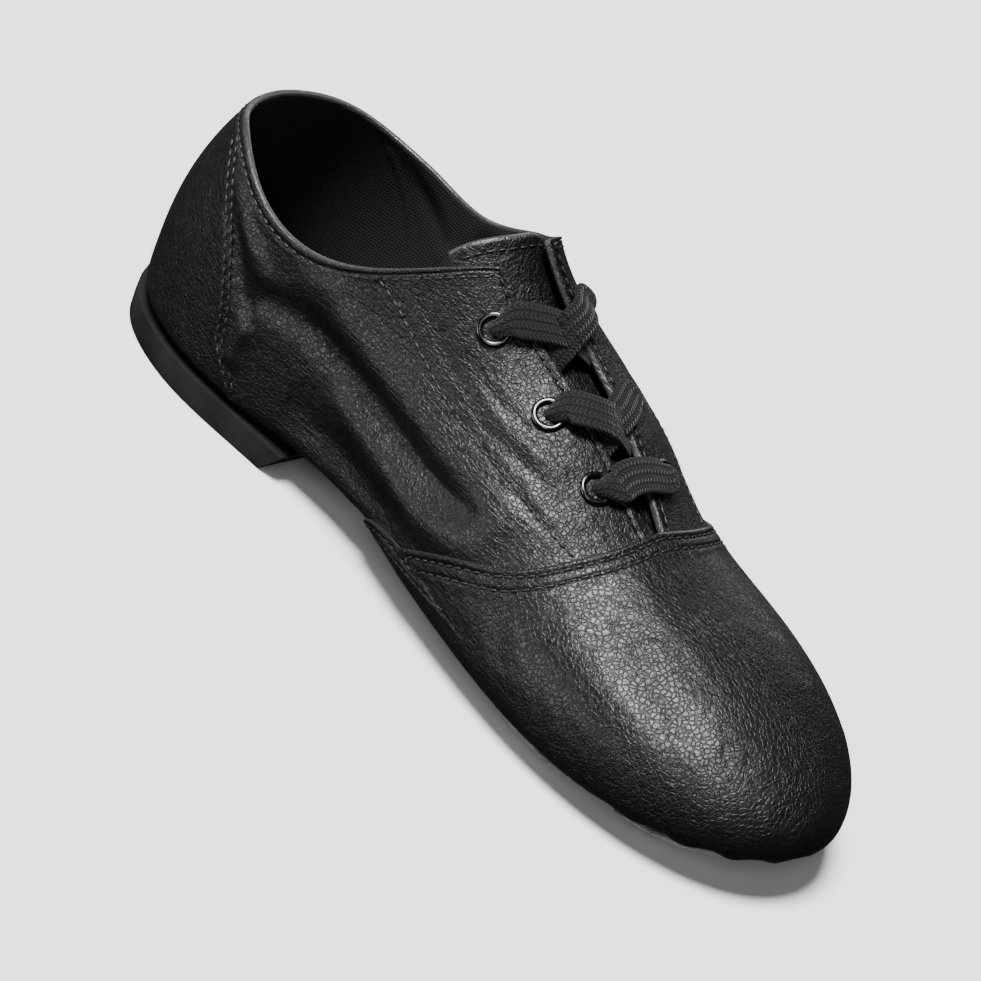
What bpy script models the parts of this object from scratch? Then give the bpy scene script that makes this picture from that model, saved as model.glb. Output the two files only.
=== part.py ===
"""Split-sole lace-up jazz shoe for the left foot, empty and unbent, built as separate pieces.

Metres, +Z up, +X from heel to toe, +Y to the outer (lateral) side. The origin lies on the floor
under the middle of the heel. Every piece is cut from, laid on or hung under one form, the last.
"""
import math

import bmesh
import bpy
import numpy as np
from mathutils import Matrix, Vector

# Driving sizes
LENGTH = 0.250
BALL_WIDTH = 0.080
INSTEP_HEIGHT = 0.0675
SIDE_HEIGHT = 0.0140
COLLAR_HEIGHT = 0.0600
TOE_SPRING = 0.0060
HEEL_SEAT = 0.033
WALL = 0.0019
VAMP_STEP = 0.0008
THROAT_GAP = 0.0120
HEEL_PAD_HEIGHT = 0.0080
HEEL_PAD_OVERHANG = 0.0015
HEEL_PAD_SLANT = 0.0065
HEEL_PAD_EDGE = 0.0006
PAD_THICKNESS = 0.0017
FOREFOOT_PAD_LENGTH = 0.081
FOREFOOT_PAD_WIDTH = 0.070
OPENING_MARGIN = 0.010
TOE_PAD_WIDTH = 0.056
TOE_PAD_GAP = 0.003
TOE_PAD_HORN = 0.004
TOE_PAD_MARGIN = 0.009
INSOLE_THICKNESS = 0.0020
TONGUE_WIDTH = 0.042
TONGUE_THICKNESS = 0.0016
TONGUE_DROP = 0.0015
EYELET_HOLE = 0.0056
EYELET_BARREL = 0.0066
EYELET_FLANGE = 0.0088
EYELET_LIP = 0.0006
LACE_WIDTH = 0.0095
LACE_THICKNESS = 0.0016
CLEARANCE = 0.0003
SHEET_CLEARANCE = 0.0007
SAME_POINT = 0.0005

# Plan of the last at its widest level: share of the length, lateral and medial half widths
# as shares of half the ball width
OUTLINE = (
    (0.000, 0.000, 0.000), (0.012, 0.303, 0.303), (0.045, 0.570, 0.570), (0.100, 0.744, 0.744),
    (0.170, 0.820, 0.820), (0.270, 0.812, 0.790), (0.380, 0.830, 0.770), (0.480, 0.920, 0.845),
    (0.570, 0.995, 0.930), (0.650, 1.015, 0.995), (0.730, 0.971, 1.032), (0.810, 0.879, 1.011),
    (0.885, 0.732, 0.913), (0.945, 0.503, 0.734), (0.985, 0.206, 0.477), (1.000, -0.134, 0.134),
)
# Side view of the last: share of the length, ridge as a share of the instep height and widest
# level as a share of the side height, both above the seat line
HEIGHTS = (
    (0.00, 0.896, 0.97), (0.15, 1.310, 0.97), (0.30, 1.630, 0.97), (0.42, 1.215, 0.97),
    (0.50, 1.000, 0.98), (0.58, 0.885, 1.00), (0.68, 0.690, 0.93), (0.78, 0.600, 0.88),
    (0.88, 0.520, 0.80), (1.00, 0.370, 0.58),
)
# Seat line: share of the length, share of the step from forefoot up to heel, share of toe spring
SEAT = (
    (0.00, 1.00, 0.00), (0.30, 1.00, 0.00), (0.38, 0.96, 0.00), (0.45, 0.66, 0.00),
    (0.52, 0.24, 0.00), (0.58, 0.02, 0.00), (0.64, 0.00, -0.06), (0.78, 0.00, -0.06),
    (0.88, 0.00, 0.20), (1.00, 0.00, 1.00),
)
# Roundness of the cross section: share of the length, exponent above and below the widest level
ROUND = (
    (0.00, 2.3, 5.5), (0.15, 2.3, 6.5), (0.30, 2.2, 6.0), (0.42, 2.0, 3.4), (0.50, 1.9, 3.0),
    (0.58, 1.9, 3.0), (0.68, 2.0, 3.2), (0.78, 2.1, 3.2), (0.88, 2.2, 3.0), (1.00, 2.3, 3.0),
)
# Swell of the lateral side above the widest level, where the empty quarter folds in at the throat's
# top and stands out at the eyelets: share of the length, share of the side distance
SWELL = (
    (0.00, 0.00), (0.26, 0.00), (0.35, -0.13), (0.40, -0.30), (0.43, -0.26), (0.465, -0.02),
    (0.50, 0.13), (0.56, 0.10), (0.64, -0.03), (0.72, 0.00), (1.00, 0.00),
)
# Collar line above the seat: share of the length, lateral and medial shares of the collar height
COLLAR = (
    (0.000, 0.975, 0.975), (0.050, 0.985, 0.985), (0.090, 0.955, 1.000), (0.130, 0.912, 0.965),
    (0.180, 0.880, 0.890), (0.260, 0.875, 0.860), (0.340, 1.045, 1.000), (0.400, 1.240, 1.180),
    (0.435, 1.380, 1.275), (0.460, 1.450, 1.310),
)
# Throat edges: share of the length, lateral and medial distance from the ridge as shares of the gap
THROAT = (
    (0.35, 0.00, 0.00), (0.43, 0.17, 0.80), (0.50, 0.46, 0.55), (0.56, 0.52, 0.34),
    (0.61, 0.46, 0.22), (0.65, 0.34, 0.15), (0.69, 0.12, 0.08),
)
# Vamp seam: angle round the section from the ridge in degrees, share of the length
SEAM = ((0, 0.690), (17, 0.690), (36, 0.676), (64, 0.624), (84, 0.542), (95, 0.495), (118, 0.450), (180, 0.430))
# Eyelets from the top down: share of the length, lateral and medial distance from the ridge
# as shares of half the ball width
EYELETS = ((0.463, 0.330, 0.405), (0.554, 0.370, 0.335), (0.633, 0.355, 0.275))

HEEL_POLE, TOE_POLE, POLE_ROUND = 0.125, 0.80, 0.048
TIP_SHIFT = 0.134
HEEL_PAD_FRONT = 0.300
FOREFOOT_PAD_CENTRE, FOREFOOT_PAD_BLUNT = 0.7225, 0.14
TOE_PAD_HOLLOW, TOE_PAD_ROUND = 1.10, 2.2
COLLAR_CORNER = 0.388
TONGUE_TOP, TONGUE_TOE = 0.419, 0.750
TONGUE_CORNERS = {"lateral": 0.405, "medial": 0.384}
TONGUE_TAPER = 0.25
CORNER_ROUND = 0.07
INSOLE_SHARE = 0.77
COLUMNS, ROWS = 92, 14
SEAM_MIDDLE, SEAM_REACH, SEAM_HALF_WIDTH = 64, 0.85, 0.0010
VAMP_FADE = (95, 130)
# Flat lace: its section as shares of width and thickness, where its strands pass between
# the eyelets as shares of the way across, and their width where they turn down into the throat
LACE_SECTION = ((-0.5, 0), (-0.4, 0.5), (0.4, 0.5), (0.5, 0), (0.4, -0.5), (-0.4, -0.5))
LACE_HALF_WAY, LACE_PAST_RIDGE, LACE_TURN_DOWN = 0.5, -0.25, 0.75


def spline(stations, values, x, period=None):
    """Cubic through the stations with continuous curvature, natural at its ends or periodic."""
    xs, ys = np.asarray(stations, float), np.asarray(values, float)
    x = np.asarray(x, float)
    if period:
        x = xs[0] + np.mod(x - xs[0], period)
        xs, ys = np.append(xs, xs[0] + period), np.append(ys, ys[0])
    n = len(xs)
    step = np.diff(xs)
    slope = np.diff(ys) / step
    matrix, right = np.zeros((n, n)), np.zeros(n)
    for i in range(1, n - 1):
        matrix[i, i - 1:i + 2] = step[i - 1], 2 * (step[i - 1] + step[i]), step[i]
        right[i] = 6 * (slope[i] - slope[i - 1])
    matrix[0, 0] = 1
    if period:
        matrix[0, -1] = -1
        matrix[-1, [0, 1, -2, -1]] = 2 * step[0], step[0], step[-1], 2 * step[-1]
        right[-1] = 6 * (slope[0] - slope[-1])
    else:
        matrix[-1, -1] = 1
    bend = np.linalg.solve(matrix, right)
    x = np.clip(x, xs[0], xs[-1])
    i = np.clip(np.searchsorted(xs, x, side="right") - 1, 0, n - 2)
    a = (xs[i + 1] - x) / step[i]
    b = 1 - a
    curve = ((a ** 3 - a) * bend[i] + (b ** 3 - b) * bend[i + 1]) * step[i] ** 2 / 6
    return a * ys[i] + b * ys[i + 1] + curve


def column(table, k, share):
    """Value k of a table at a share of the length."""
    return spline([row[0] for row in table], [row[k] for row in table], share)


def soft_max(a, b, radius):
    return (a + b + np.sqrt((a - b) ** 2 + radius ** 2)) / 2


def angle_of(share):
    """Angle round the plan outline, 0 at the heel and pi at the toe, of a share of the length."""
    return np.arccos(1 - 2 * np.clip(share, 0, 1))


def outline(theta):
    """Plan outline: angle 0 at the heel, the lateral side first, pi at the toe tip."""
    shares = [row[0] for row in OUTLINE]
    angles = [angle_of(s) for s in shares]
    angles += [2 * math.pi - a for a in angles[-2:0:-1]]
    widths = [row[1] for row in OUTLINE] + [-row[2] for row in OUTLINE[-2:0:-1]]
    side = spline(angles, widths, theta, 2 * math.pi) * BALL_WIDTH / 2
    return (1 - np.cos(theta)) / 2, side


def centre(share):
    """The ridge and the bottom line drift to the medial side towards the toe."""
    return -TIP_SHIFT * BALL_WIDTH / 2 * (2 * np.clip(share - 0.5, 0, 0.5)) ** 2


def seat(share):
    """Height of the bottom line."""
    low = PAD_THICKNESS + CLEARANCE
    step = HEEL_PAD_HEIGHT - PAD_THICKNESS
    return low + step * column(SEAT, 1, share) + TOE_SPRING * column(SEAT, 2, share)


def last(theta, phi):
    """Point of the shoe's outer form; phi runs from 0 at the ridge to pi at the bottom line."""
    theta, phi = np.broadcast_arrays(np.asarray(theta, float), np.asarray(phi, float))
    edge, side = outline(theta)
    pole = soft_max(edge, HEEL_POLE, POLE_ROUND)
    pole = -soft_max(-pole, -TOE_POLE, POLE_ROUND)
    above = phi <= math.pi / 2
    sine, cosine = np.abs(np.sin(phi)), np.abs(np.cos(phi))
    share = pole
    for _ in range(2):
        n = np.where(above, column(ROUND, 1, share), column(ROUND, 2, share))
        reach = (sine ** n + cosine ** n) ** (-1 / n)
        share = pole + sine * reach * (edge - pole)
    swell = np.where(above & (side > centre(pole)), column(SWELL, 1, share) * np.sin(2 * phi), 0)
    y = centre(pole) + sine * reach * (side - centre(pole)) * (1 + swell)
    bottom = seat(share)
    widest = bottom + SIDE_HEIGHT * column(HEIGHTS, 2, share)
    top = bottom + INSTEP_HEIGHT * column(HEIGHTS, 1, share)
    z = widest + np.where(above, top - widest, bottom - widest) * cosine * reach
    z = np.maximum(z, PAD_THICKNESS + CLEARANCE)
    return np.stack([share * LENGTH - HEEL_SEAT, y, z], -1)


def outward(theta, phi):
    """Unit normal of the last, pointing out."""
    d = 0.002
    round_it = last(theta + d, phi) - last(theta - d, phi)
    down_it = last(theta, phi + d) - last(theta, phi - d)
    normal = np.cross(round_it, down_it)
    return normal / np.linalg.norm(normal, axis=-1, keepdims=True)


def root(test, low, high, steps=40):
    """Where a rising test crosses 0, by halving, for arrays of low and high."""
    low, high = np.array(low, float), np.array(high, float)
    for _ in range(steps):
        middle = (low + high) / 2
        over = test(middle) > 0
        high = np.where(over, middle, high)
        low = np.where(over, low, middle)
    return (low + high) / 2


def share_of(point):
    return (point[..., 0] + HEEL_SEAT) / LENGTH


def on_top(share, y):
    """Angles of the point above the widest level at a share of the length and a side distance."""
    y = np.asarray(y, float)
    theta = np.where(y > centre(share), angle_of(share), 2 * math.pi - angle_of(share))
    away = np.abs(y - centre(share))
    phi = root(lambda p: np.abs(last(theta, p)[..., 1] - centre(share)) - away,
               np.zeros(y.shape), np.full(y.shape, math.pi / 2))
    return theta, phi


def underside(x, y):
    """Height of the last's underside over a plan point: the spoke through it, then the share."""
    share = (x + HEEL_SEAT) / LENGTH
    lateral = y > centre(share)

    def spoke(theta):
        theta = np.where(lateral, theta, 2 * math.pi - theta)
        return last(theta, math.pi), last(theta, math.pi / 2)

    def ahead(theta):
        inner, outer = spoke(theta)
        rod, out = outer - inner, np.stack([x, y, 0 * x], -1) - inner
        turn = rod[..., 0] * out[..., 1] - rod[..., 1] * out[..., 0]
        return np.where(lateral, turn, -turn)

    theta = root(ahead, np.full(x.shape, 1e-4), np.full(x.shape, math.pi - 1e-4))
    inner, outer = spoke(theta)
    reach = np.hypot(x - inner[..., 0], y - inner[..., 1])
    side = np.where(lateral, theta, 2 * math.pi - theta)

    def further(phi):
        point = last(side, phi)
        return reach - np.hypot(point[..., 0] - inner[..., 0], point[..., 1] - inner[..., 1])

    phi = root(further, np.full(x.shape, math.pi / 2), np.full(x.shape, math.pi))
    return last(side, phi)[..., 2]


def material(name, colour, roughness, metallic=0.0):
    made = bpy.data.materials.new(name)
    made.use_nodes = True
    shader = made.node_tree.nodes["Principled BSDF"]
    shader.inputs["Base Color"].default_value = (*colour, 1)
    shader.inputs["Roughness"].default_value = roughness
    shader.inputs["Metallic"].default_value = metallic
    return made


def put(name, bm, finish, collection, smooth=True):
    """Turn a bmesh into a named object of the collection."""
    mesh = bpy.data.meshes.new(name)
    bm.to_mesh(mesh)
    bm.free()
    if smooth:
        mesh.shade_smooth()
        mesh.set_sharp_from_angle(angle=math.radians(35))
    if finish:
        mesh.materials.append(finish)
    made = bpy.data.objects.new(name, mesh)
    collection.objects.link(made)
    return made


def sheet(points, closed=False):
    """Open surface through a grid of points; equal points along its edges become one."""
    bm = bmesh.new()
    bm.verts.layers.deform.verify()
    grid = [[bm.verts.new(p) for p in row] for row in points]
    rows = list(zip(grid, grid[1:]))
    if closed:
        rows.append((grid[-1], grid[0]))
    for a, b in rows:
        for k in range(len(a) - 1):
            bm.faces.new((a[k], a[k + 1], b[k + 1], b[k]))
    return bm, grid


def face_up(bm, face):
    """Turn an open surface so that the given face looks up."""
    bmesh.ops.recalc_face_normals(bm, faces=bm.faces)
    if face.normal.z < 0:
        bmesh.ops.reverse_faces(bm, faces=bm.faces)


def thicken(piece, thickness, offset=1.0, even=False):
    shell = piece.modifiers.new("thickness", "SOLIDIFY")
    shell.thickness = thickness
    shell.offset = offset
    shell.use_even_offset = even
    return shell


def cut(piece, cutter):
    step = piece.modifiers.new(cutter.name, "BOOLEAN")
    step.operation = "DIFFERENCE"
    step.solver = "EXACT"
    step.object = cutter


def seam_angle(phi):
    return angle_of(column(SEAM, 1, np.degrees(phi)))


def upper_columns():
    """Columns round the upper, closer together along the sides, with two close ones at each seam.

    Each is a side, its place between heel and toe, and whether it lies on the vamp.
    """
    fine = np.linspace(0, math.pi, 2000)
    corner = angle_of(COLLAR_CORNER)
    crowd = 1 + 0.5 * np.sin(fine) ** 2 + 1.5 * np.exp(-((fine - corner) / 0.10) ** 2)
    passed = np.cumsum(crowd) - crowd[0]
    turns = np.interp(np.linspace(0, passed[-1], COLUMNS // 2 + 1), passed, fine)
    seam = min(turns, key=lambda t: abs(t - seam_angle(math.radians(SEAM_MIDDLE))))
    lateral = []
    for t in turns:
        if t == seam:
            lateral += [(t - SEAM_HALF_WIDTH, False), (t + SEAM_HALF_WIDTH, True)]
        else:
            lateral.append((t, t > seam))
    both = [(1, t, front) for t, front in lateral]
    both += [(-1, t, front) for t, front in lateral[-2:0:-1]]
    return both, seam


def column_angle(side, turn, seam, phi):
    """Angle round the outline of a column at phi; columns near the seam lean with it."""
    near = max(0.0, 1 - abs(turn - seam) / SEAM_REACH)
    lean = (seam_angle(phi) - seam) * near ** 2 * (3 - 2 * near)
    theta = turn + lean
    return theta if side > 0 else 2 * math.pi - theta


def row_places(count):
    """Shares of the way from the top edge to the bottom line, closer at the bottom's corner."""
    even = np.linspace(0, 1, count + 1)
    return even + 0.07 * (np.sin(2 * math.pi * (even - 0.2)) + math.sin(0.4 * math.pi))


def top_edge(side, turn, seam):
    """Angle at which a quarter's column starts, at the collar or at the throat's edge."""
    k = 1 if side > 0 else 2

    def below_collar(phi):
        point = last(column_angle(side, turn, seam, phi), phi)
        share = share_of(point)
        return seat(share) + COLLAR_HEIGHT * column(COLLAR, k, share) - point[..., 2]

    def past_gap(phi):
        point = last(column_angle(side, turn, seam, phi), phi)
        share = share_of(point)
        gap = THROAT_GAP * column(THROAT, k, share)
        return np.abs(point[..., 1] - centre(share)) - gap + 1e-6

    collar = root(below_collar, 0.0, math.pi / 2)
    gap = root(past_gap, 0.0, math.pi / 2)
    return float(soft_max(collar, gap, CORNER_ROUND))


def make_upper(leather, parts, cutters):
    """One hollow shell, open at collar and throat, whose wall steps out at the vamp's edge."""
    columns, seam = upper_columns()
    down = row_places(ROWS)
    points = []
    for side, turn, front in columns:
        start = 0.0 if front else top_edge(side, turn, seam)
        phi = math.pi * down + start * (1 - down) ** 2
        theta = column_angle(side, turn, seam, phi)
        points.append(last(theta, phi) - outward(theta, np.clip(phi, 0.01, math.pi - 0.01)) * WALL)
    bm, grid = sheet(points, closed=True)
    vamp = bm.verts.layers.deform.active
    for (side, turn, front), row in zip(columns, grid):
        for vert, fade in zip(row, np.interp(180 * down, VAMP_FADE, (1, 0))):
            vert[vamp][0] = front * float(fade)
    ends = [row[-1] for row in grid] + [row[0] for row, c in zip(grid, columns) if c[2]]
    bmesh.ops.remove_doubles(bm, verts=ends, dist=SAME_POINT)
    face_up(bm, max(bm.faces, key=lambda f: f.calc_center_median().z))
    upper = put("upper", bm, leather, parts)
    upper.vertex_groups.new(name="vamp")
    shell = thicken(upper, WALL + VAMP_STEP)
    shell.vertex_group = "vamp"
    shell.thickness_vertex_group = WALL / (WALL + VAMP_STEP)
    cut(upper, make_sole_cutter(cutters))
    for k, place in enumerate(eyelet_places()):
        bm = bmesh.new()
        bmesh.ops.create_cone(bm, cap_ends=True, segments=16, depth=6 * WALL, matrix=place,
                              radius1=EYELET_BARREL / 2 + CLEARANCE,
                              radius2=EYELET_BARREL / 2 + CLEARANCE)
        cut(upper, guide(f"eyelet_cut_{k}", bm, cutters))
    return upper


def guide(name, bm, cutters):
    made = put(name, bm, None, cutters, smooth=False)
    made.hide_render = True
    made.display_type = "WIRE"
    return made


def egg(inset=0.0, count=40):
    """Plan outline of the forefoot pad, its narrow end towards the arch."""
    turn = np.linspace(0, 2 * math.pi, count, endpoint=False)
    half_length, half_width = FOREFOOT_PAD_LENGTH / 2 - inset, FOREFOOT_PAD_WIDTH / 2 - inset
    x = FOREFOOT_PAD_CENTRE * LENGTH - HEEL_SEAT + half_length * np.cos(turn)
    y = half_width * np.sin(turn) * (1 + FOREFOOT_PAD_BLUNT * np.cos(turn))
    return x, y + centre(FOREFOOT_PAD_CENTRE)


def make_sole_cutter(cutters):
    """The upper is open under the ball of the foot, where insole and suede pad close it."""
    bm = bmesh.new()
    x, y = egg(OPENING_MARGIN)
    face = bm.faces.new([bm.verts.new((a, b, 0)) for a, b in zip(x, y)])
    grown = bmesh.ops.extrude_face_region(bm, geom=[face])["geom"]
    bmesh.ops.translate(bm, verts=[v for v in grown if isinstance(v, bmesh.types.BMVert)],
                        vec=(0, 0, PAD_THICKNESS + TOE_SPRING + WALL))
    bmesh.ops.recalc_face_normals(bm, faces=bm.faces)
    return guide("sole_opening", bm, cutters)


def eyelet_places():
    """Frames of the six eyelets: origin on the leather, Z along the outward normal."""
    places = []
    for share, lateral, medial in EYELETS:
        for y in (lateral, -medial):
            theta, phi = on_top(share, y * BALL_WIDTH / 2)
            axis = Vector(outward(theta, phi))
            turn = axis.to_track_quat("Z", "Y").to_matrix().to_4x4()
            places.append(Matrix.Translation(last(theta, phi)) @ turn)
    return places


def make_eyelets(metal, parts):
    """Turned rings: a barrel through the leather and a rolled flange on it."""
    hole, barrel, flange = EYELET_HOLE / 2, EYELET_BARREL / 2, EYELET_FLANGE / 2
    top = CLEARANCE + EYELET_LIP
    profile = (
        (flange - EYELET_LIP, top), (flange, CLEARANCE), (barrel, CLEARANCE), (barrel, -WALL),
        (hole, -WALL), (hole, CLEARANCE), (hole + EYELET_LIP, top),
    )
    names = [f"eyelet_{side}_{row}" for row in (1, 2, 3) for side in ("lateral", "medial")]
    for name, place in zip(names, eyelet_places()):
        bm = bmesh.new()
        ring = [bm.verts.new((r, 0, z)) for r, z in profile]
        for a, b in zip(ring, ring[1:] + ring[:1]):
            bm.edges.new((a, b))
        eyelet = put(name, bm, metal, parts)
        eyelet.matrix_world = place
        turned = eyelet.modifiers.new("turned", "SCREW")
        turned.steps = turned.render_steps = 16
        turned.use_merge_vertices = True
        turned.merge_threshold = 0.00001


def make_tongue(leather, parts):
    """A leather sheet under the throat that rises a little over the collar's front corners."""
    across = np.linspace(-1, 1, 13)
    corner = np.where(across > 0, TONGUE_CORNERS["lateral"], TONGUE_CORNERS["medial"])
    top = TONGUE_TOP + (corner - TONGUE_TOP) * across ** 2
    points = []
    for ahead in np.linspace(0, 1, 16):
        share = top + (TONGUE_TOE - top) * ahead
        half = TONGUE_WIDTH / 2 * (1 - TONGUE_TAPER * ahead)
        drop = SHEET_CLEARANCE + TONGUE_DROP * math.cos(math.pi / 2 * min(1, ahead * 1.3))
        theta, phi = on_top(share, centre(share) + across * half)
        phi = np.maximum(phi, 0.01)
        points.append(last(theta, phi) - outward(theta, phi) * (WALL + drop))
    bm, _ = sheet(points)
    face_up(bm, next(iter(bm.faces)))
    tongue = put("tongue", bm, leather, parts)
    thicken(tongue, TONGUE_THICKNESS, -1.0)


def make_insole(lining, parts):
    """A thin padded sheet that lies inside on the wall's floor."""
    turns = np.linspace(0, math.pi, 33)
    angles = list(turns) + [2 * math.pi - t for t in turns[-2:0:-1]]
    points = []
    for theta in angles:
        outer = last(theta, math.pi / 2)
        phi = root(lambda p: np.hypot(*(last(theta, math.pi) - outer)[:2]) * INSOLE_SHARE
                   - np.hypot(*(last(theta, p) - last(theta, math.pi))[:2]), math.pi / 2, math.pi)
        phis = np.linspace(float(phi), math.pi, 5)
        normal = outward(theta, np.clip(phis, 0, math.pi - 0.01))
        points.append(last(theta, phis) - normal * (WALL + SHEET_CLEARANCE))
    bm, grid = sheet(points, closed=True)
    bmesh.ops.remove_doubles(bm, verts=[row[-1] for row in grid], dist=SAME_POINT)
    face_up(bm, next(iter(bm.faces)))
    insole = put("insole", bm, lining, parts)
    thicken(insole, INSOLE_THICKNESS)


def make_heel_pad(rubber, parts):
    """D-shaped rubber block; its front face leans forward towards the top."""
    corner = float(angle_of(HEEL_PAD_FRONT))
    share, y = outline(np.linspace(-corner, corner, 37))
    forward = share / HEEL_PAD_FRONT
    x = share * LENGTH - HEEL_SEAT - HEEL_PAD_OVERHANG * (1 - forward) ** 2
    low = [(a, b, 0.0) for a, b in zip(x, y)]
    shift = HEEL_PAD_SLANT * forward ** 12
    high = [(a + d, b, HEEL_PAD_HEIGHT) for (a, b, _), d in zip(low, shift)]
    bm = bmesh.new()
    below = [bm.verts.new(p) for p in low]
    above = [bm.verts.new(p) for p in high]
    bm.faces.new(below)
    bm.faces.new(above)
    for k in range(len(below)):
        bm.faces.new((below[k - 1], below[k], above[k], above[k - 1]))
    bmesh.ops.recalc_face_normals(bm, faces=bm.faces)
    pad = put("heel_pad", bm, rubber, parts)
    rim = pad.modifiers.new("worn edge", "BEVEL")
    rim.width = HEEL_PAD_EDGE
    rim.segments = 2
    rim.limit_method = "ANGLE"
    rim.angle_limit = math.radians(40)


def under_sheet(name, x, y, finish, parts, closed):
    """A sheet of pad thickness under the last, over a grid of plan points, flat where it rests."""
    z = underside(x, y) - CLEARANCE
    top = np.stack([x, y, z], -1)
    bm, grid = sheet(top, closed)
    if closed:
        bmesh.ops.remove_doubles(bm, verts=[row[0] for row in grid], dist=SAME_POINT)
    face_up(bm, next(iter(bm.faces)))
    made = put(name, bm, finish, parts)
    thicken(made, PAD_THICKNESS, -1.0, even=True)


def make_forefoot_pad(suede, parts):
    """Egg-shaped suede sheet that follows the underside of the ball of the foot."""
    x, y = egg()
    middle_x, middle_y = x.mean(), y.mean()
    rings = np.array([0.0, 0.25, 0.5, 0.7, 0.85, 1.0])
    under_sheet("forefoot_pad", middle_x + np.outer(x - middle_x, rings),
                middle_y + np.outer(y - middle_y, rings), suede, parts, True)


def make_toe_pad(suede, parts):
    """Crescent of suede between the forefoot pad and the toe tip."""
    middle = FOREFOOT_PAD_CENTRE * LENGTH - HEEL_SEAT
    swing = np.linspace(-1, 1, 21)
    half = TOE_PAD_WIDTH / 2
    y = centre(0.9) + swing * half
    pad_length, pad_width = FOREFOOT_PAD_LENGTH / 2, FOREFOOT_PAD_WIDTH / 2 * TOE_PAD_HOLLOW
    inner = middle + (pad_length + TOE_PAD_GAP) * np.sqrt(
        1 - (swing * half / (pad_width + TOE_PAD_GAP)) ** 2)
    horn = inner[0] + TOE_PAD_HORN
    bulge = LENGTH - HEEL_SEAT - TOE_PAD_MARGIN - horn
    outer = horn + bulge * np.sqrt(np.maximum(0, 1 - np.abs(swing) ** TOE_PAD_ROUND))
    across = np.linspace(0, 1, 6)
    x = inner[:, None] + np.outer(outer - inner, across)
    under_sheet("toe_pad", x, np.repeat(y[:, None], 6, 1), suede, parts, False)


def ribbon(route, width, thickness):
    """Flat lace along points of (share, side distance, lift above the leather, share of width)."""
    route = np.array(route, float)
    t = np.linspace(0, len(route) - 1, 3 * (len(route) - 1) + 1)
    share, y, lift, wide = (spline(range(len(route)), route[:, k], t) for k in range(4))
    theta, phi = on_top(share, y)
    phi = np.maximum(phi, 0.01)
    normal = outward(theta, phi)
    path = last(theta, phi) + normal * lift[:, None]
    ahead = np.gradient(path, axis=0)
    ahead /= np.linalg.norm(ahead, axis=1, keepdims=True)
    across = np.cross(normal, ahead)
    across /= np.linalg.norm(across, axis=1, keepdims=True)
    up = np.cross(ahead, across)
    bm = bmesh.new()
    loops = []
    for place, a, u, w in zip(path, across, up, wide):
        loops.append([bm.verts.new(place + a * s * width * w + u * h * thickness)
                      for s, h in LACE_SECTION])
    for one, two in zip(loops, loops[1:]):
        for k in range(len(LACE_SECTION)):
            bm.faces.new((one[k - 1], one[k], two[k], two[k - 1]))
    bm.faces.new(loops[0])
    bm.faces.new(loops[-1])
    bmesh.ops.recalc_face_normals(bm, faces=bm.faces)
    return bm


def lace_route(row, side, onward):
    """A lace's points from inside an eyelet, up over its flange and on along the given points."""
    share, lateral, medial = EYELETS[row]
    y = (lateral if side > 0 else -medial) * BALL_WIDTH / 2
    over = 3 * CLEARANCE + EYELET_LIP + LACE_THICKNESS / 2
    climb = [(share, y, 0.0, 0.36), (share + 0.001, y - side * 0.0006, over * 0.62, 0.38),
             (share + 0.004, y - side * 0.0030, over * 1.08, 0.66)]
    return climb + [(share + s, y * part, over + lift, wide) for s, part, lift, wide in onward]


def make_laces(cotton, parts, cutters):
    """A straight bar at the lowest eyelets and two crossings above it, each one solid."""
    bar = lace_route(2, 1, ((0.0, LACE_HALF_WAY, 0.0, 1.0), (0.0, 0.0, 0.0, 1.0)))
    bar += lace_route(2, -1, ((0.0, LACE_HALF_WAY, 0.0, 1.0),))[::-1]
    put("lace_bar", ribbon(bar, LACE_WIDTH, LACE_THICKNESS), cotton, parts)
    for name, row, top_side in (("lace_crossing_lower", 1, -1), ("lace_crossing_upper", 0, 1)):
        strands = []
        for side in (top_side, -top_side):
            raised = LACE_THICKNESS * 0.6 if side == top_side else 0.0
            onward = ((0.018, LACE_HALF_WAY, raised, 1.0), (0.034, 0.0, raised, 1.0),
                      (0.046, LACE_PAST_RIDGE, raised / 2, LACE_TURN_DOWN))
            strands.append(ribbon(lace_route(row, side, onward), LACE_WIDTH, LACE_THICKNESS))
        crossing = put(name, strands[0], cotton, parts)
        join = crossing.modifiers.new("join", "BOOLEAN")
        join.operation = "UNION"
        join.solver = "EXACT"
        join.object = guide(f"{name}_under", strands[1], cutters)


def main():
    for old in list(bpy.data.objects):
        bpy.data.objects.remove(old)
    parts = bpy.data.collections.new("jazz_shoe")
    cutters = bpy.data.collections.new("cutters")
    for made in (parts, cutters):
        bpy.context.scene.collection.children.link(made)
    leather = material("black leather", (0.012, 0.012, 0.013), 0.42)
    lining = material("black cotton lining", (0.010, 0.010, 0.011), 0.95)
    suede = material("dark grey suede", (0.040, 0.040, 0.042), 0.95)
    rubber = material("black rubber", (0.020, 0.020, 0.021), 0.70)
    metal = material("black painted metal", (0.030, 0.030, 0.032), 0.35, 0.6)
    cotton = material("black woven cotton", (0.010, 0.010, 0.011), 0.90)
    make_upper(leather, parts, cutters)
    make_insole(lining, parts)
    make_tongue(leather, parts)
    make_heel_pad(rubber, parts)
    make_forefoot_pad(suede, parts)
    make_toe_pad(suede, parts)
    make_eyelets(metal, parts)
    make_laces(cotton, parts, cutters)


main()
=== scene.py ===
# %% [markdown]
# A jazz shoe is a soft low lace-up for dancing. Two quarters and a vamp of black leather are
# sewn over a last, and suede pads and a rubber heel are stuck under them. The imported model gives
# the plain solids. This lesson dresses them: each leather panel is built again over the same
# last at a finer grid, so that folded edges, creases and seams are real geometry, and only the
# grain is left to the materials.

import math

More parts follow.
